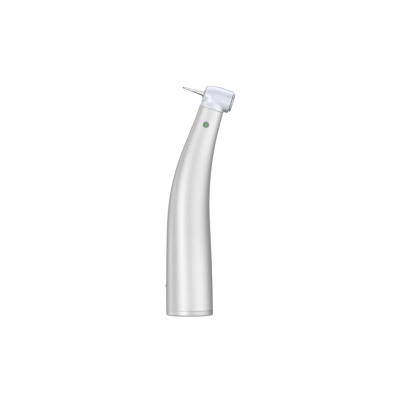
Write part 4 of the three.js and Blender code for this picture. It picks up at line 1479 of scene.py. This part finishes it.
def rear_circlip():
    """Flat ring with a gap on the +X side."""
    shape = turned_ring([
        (3.05, 29.15, 0.05), (3.95, 29.15, 0.05), (3.95, 29.7, 0.05), (3.05, 29.7, 0.05),
    ], count(96))
    ob = make("rear_circlip", shape, "grip", "housing", SPRING_STEEL)
    box = np.array([(x, y, z) for x in (2, 5) for y in (-1.1, 1.1) for z in (28, 31)], float)
    box_faces = [
        (0, 1, 3, 2), (4, 6, 7, 5), (0, 4, 5, 1), (2, 3, 7, 6), (0, 2, 6, 4), (1, 5, 7, 3),
    ]
    cut(ob, [cutter("gap", (box, box_faces), "grip")])


rear_circlip()


def pipe(node, grip_stations, neck_points, radius, material):
    """A round bar swept along a smooth path, with rounded ends and no twist.
    The path is (z, distance, azimuth) stations in the sleeve, then (u, y, l) neck points."""
    path = np.concatenate([
        [in_sleeve(*station) for station in grip_stations],
        neck_vectors(np.array(neck_points, float), HEAD_IN_GRIP),
    ])
    padded = [2 * path[0] - path[1], *path, 2 * path[-1] - path[-2]]
    curve = np.array(catmull_rom(padded, 10))
    tangents = np.gradient(curve, axis=0)
    tangents /= np.linalg.norm(tangents, axis=1, keepdims=True)
    angles = 2 * np.pi * np.arange(28) / 28

    def ring(centre, tangent, r):
        side = np.cross(tangent, AXIS_Y)
        side /= np.linalg.norm(side)
        up = np.cross(side, tangent)
        return centre + r * (np.cos(angles)[:, None] * side + np.sin(angles)[:, None] * up)

    edge = radius * 0.15
    start, end = curve[0], curve[-1]
    first, last = tangents[0], tangents[-1]
    rings = [
        [start],
        ring(start, first, radius - edge),
        ring(start + first * edge * 0.3, first, radius - edge * 0.3),
        ring(start + first * edge, first, radius),
        *[ring(c, t, radius) for c, t in zip(curve[1:-1], tangents[1:-1])],
        ring(end - last * edge, last, radius),
        ring(end - last * edge * 0.3, last, radius - edge * 0.3),
        ring(end, last, radius - edge),
        [end],
    ]
    make(node, skin(rings), "grip", "housing", material, smooth=40)


# z, distance from the centre line, azimuth
ROD_STATIONS = [
    *[(z, GRIP_PIPE_CIRCLE, ROD_AZIMUTH) for z in (10.9, 18, 30)],
    (42, 7.3, 140), (50, 6.75, 142), (58, 6.1, 148), (66, 5.2, 160), (73, 4.35, 172),
    (79, 3.62, 180),
]
# z, distance from the centre line
TUBE_STATIONS = [
    *[(z, GRIP_PIPE_CIRCLE) for z in (10.9, 18, 30)],
    (42, 7.2), (50, 6.6), (58, 5.8), (66, 4.9), (73, 4.1), (79, 3.6),
]
pipe("light_rod", ROD_STATIONS, [(-NECK_PIPE_CIRCLE, 0, l) for l in (-11, -8, -4.95)],
     0.6, OPTIC_GLASS)
for side, name in ((1, "water_tube"), (-1, "air_tube")):
    stations = [(z, distance, TUBE_AZIMUTH * side) for z, distance in TUBE_STATIONS]
    pipe(name, stations, [(*tube_in_neck(side), l) for l in (-11, -8.5, -6)],
         0.45, TURNED_STEEL)

# the gear block and its screws keep their solid shape and only take a material
for name, material in (
    ("gear_block", TURNED_STEEL), ("block_screw_left", GEAR_STEEL),
    ("block_screw_right", GEAR_STEEL),
):
    materials = frame["nodes"][name].data.materials
    materials.clear()
    materials.append(material)


# ------------------------------------------------------------------ floor
def pale_floor():
    half = 6.0
    mesh = mesh_object(
        "floor", [(-half, -half, 0), (half, -half, 0), (half, half, 0), (-half, half, 0)],
        [(0, 1, 2, 3)])
    floor = link("floor", mesh)
    floor.location.z = -0.0004
    material, nodes, bsdf = new_material("pale_floor")
    nodes.feed(bsdf, {
        "Base Color": (0.93, 0.93, 0.93, 1), "Roughness": 0.9,
        "Emission Color": (1, 1, 1, 1), "Emission Strength": 0.25,
    })
    mesh.materials.append(material)
    floor.visible_glossy = False


pale_floor()

# ------------------------------------------------------------------ world
# Round the horizon: (degrees from the camera's side, + towards +X; brightness)
HORIZON = [
    (-180, 0.33), (-152, 0.33), (-128, 0.52), (-106, 0.80), (-88, 0.68), (-72, 0.54),
    (-54, 0.95), (-38, 1.24), (-26, 1.18), (-11, 0.93), (0, 0.80), (11, 0.83), (26, 1.01),
    (42, 1.08), (58, 1.09), (74, 1.00), (90, 0.79), (106, 0.56), (128, 0.31), (155, 0.29),
    (180, 0.33),
]
# Over the top: (degrees from the camera's side, 90 straight up, 180 behind; brightness)
ARCH = [
    (-180, 0.30), (-152, 0.20), (-122, 0.20), (-102, 0.38), (-90, 0.54), (-75, 0.72),
    (-50, 0.80), (-25, 0.82), (0, 0.85), (18, 0.87), (34, 0.75), (50, 0.70), (64, 0.76),
    (78, 0.87), (92, 0.96), (112, 1.06), (132, 1.12), (150, 1.00), (166, 0.66), (180, 0.30),
]
LEAN = 60.0           # the horizon pattern leans: degrees of turn per unit of height
RAMP_GAIN = 2.0       # ramps hold brightness divided by this, the background gives it back
BACKDROP_WHITE = 1.05  # brightness of the plain white that the camera sees


def grey_ramp(nodes, value, stops):
    """Brightness along a full turn given as 0..1; stops are (degrees, brightness)."""
    node = nodes.add("ValToRGB", {0: value})
    ramp = node.color_ramp
    ramp.interpolation = "B_SPLINE"
    ramp.elements.remove(ramp.elements[-1])
    for i, (degrees, brightness) in enumerate(stops):
        position = (degrees + 180) / 360
        element = ramp.elements.new(position) if i else ramp.elements[0]
        element.position = position
        element.color = (brightness / RAMP_GAIN,) * 3 + (1,)
    return node.outputs[0]


def studio_world():
    world = bpy.data.worlds.new("studio")
    bpy.context.scene.world = world
    world.use_nodes = True
    nodes = Nodes(world.node_tree)
    output = nodes.add("OutputWorld")
    direction = nodes.add("SeparateXYZ", {0: nodes.add("TexCoord").outputs["Generated"]})
    x, y, z = (direction.outputs[axis] for axis in "XYZ")

    azimuth = nodes.math("ARCTAN2", x, nodes.times(y, -1.0))
    turn = nodes.plus(
        nodes.math("DIVIDE", azimuth, 2 * math.pi), nodes.times(z, LEAN / 360.0)
    )
    horizon = grey_ramp(nodes, nodes.math("FRACT", nodes.plus(turn, 0.5), 0.0), HORIZON)
    height_angle = nodes.math("ARCTAN2", z, nodes.times(y, -1.0))
    arch_turn = nodes.plus(nodes.math("DIVIDE", height_angle, 2 * math.pi), 0.5)
    arch = grey_ramp(nodes, arch_turn, ARCH)

    # the horizon pattern gives way to the arch with height, later behind and on the -X side
    behind = nodes.larger(nodes.math("SUBTRACT", y, 0.2), 0.0)
    leftward = nodes.larger(nodes.math("SUBTRACT", nodes.times(x, -1.0), 0.6), 0.0)
    flag = nodes.times(
        leftward, nodes.times(nodes.larger(nodes.plus(y, 0.35), 0.0), 2.5)
    )
    reach = nodes.add("MapRange", {
        "Value": nodes.math("ABSOLUTE", z, 0.0),
        "From Min": nodes.plus(nodes.plus(nodes.times(behind, 0.5), 0.16), flag),
        "From Max": nodes.plus(nodes.plus(nodes.times(behind, 0.6), 0.62), flag),
    }, interpolation_type="SMOOTHSTEP")
    grey = nodes.mix(reach.outputs["Result"], horizon, arch)
    lighting = nodes.add("Background", {0: grey, 1: RAMP_GAIN})
    white = nodes.add("Background", {0: (1, 1, 1, 1), 1: BACKDROP_WHITE})
    seen = nodes.add("LightPath").outputs["Is Camera Ray"]
    mixed = nodes.add("MixShader", {0: seen, 1: lighting.outputs[0], 2: white.outputs[0]})
    nodes.feed(output, {0: mixed.outputs[0]})


studio_world()


# ------------------------------------------------------------------ light and camera
def top_soft_light():
    """A square soft light above, a little to the camera's side. Lengths in metres."""
    place, target = Vector((0.0, -0.1, 0.9)), Vector((0.003, 0.0, 0.05))
    data = bpy.data.lights.new("top_soft_light", "AREA")
    data.shape = "RECTANGLE"
    data.size = data.size_y = 0.9
    data.energy = 4.0
    light = link("top_soft_light", data)
    light.location = place
    light.rotation_euler = (target - place).to_track_quat("-Z", "Y").to_euler()
    light.visible_glossy = False


def camera():
    """Looks along +Y, square to the plane that holds the axes."""
    distance, view_width = 790.0, 172.5  # mm; the width is that of the view at the axes' plane
    data = bpy.data.cameras.new("camera")
    ob = link("camera", data)
    bpy.context.scene.camera = ob
    data.sensor_width = 36.0
    data.lens = 36.0 * distance / view_width
    ob.location = (0.00449 + GRIP[0] * MM, -distance * MM, 0.04936)
    ob.rotation_euler = (math.pi / 2, 0, 0)
    data.clip_start = 0.01
    data.clip_end = 50.0


top_soft_light()
camera()
view = bpy.context.scene.view_settings
view.view_transform = "Standard"
view.look = "None"
view.exposure = 0.0
view.gamma = 1.0
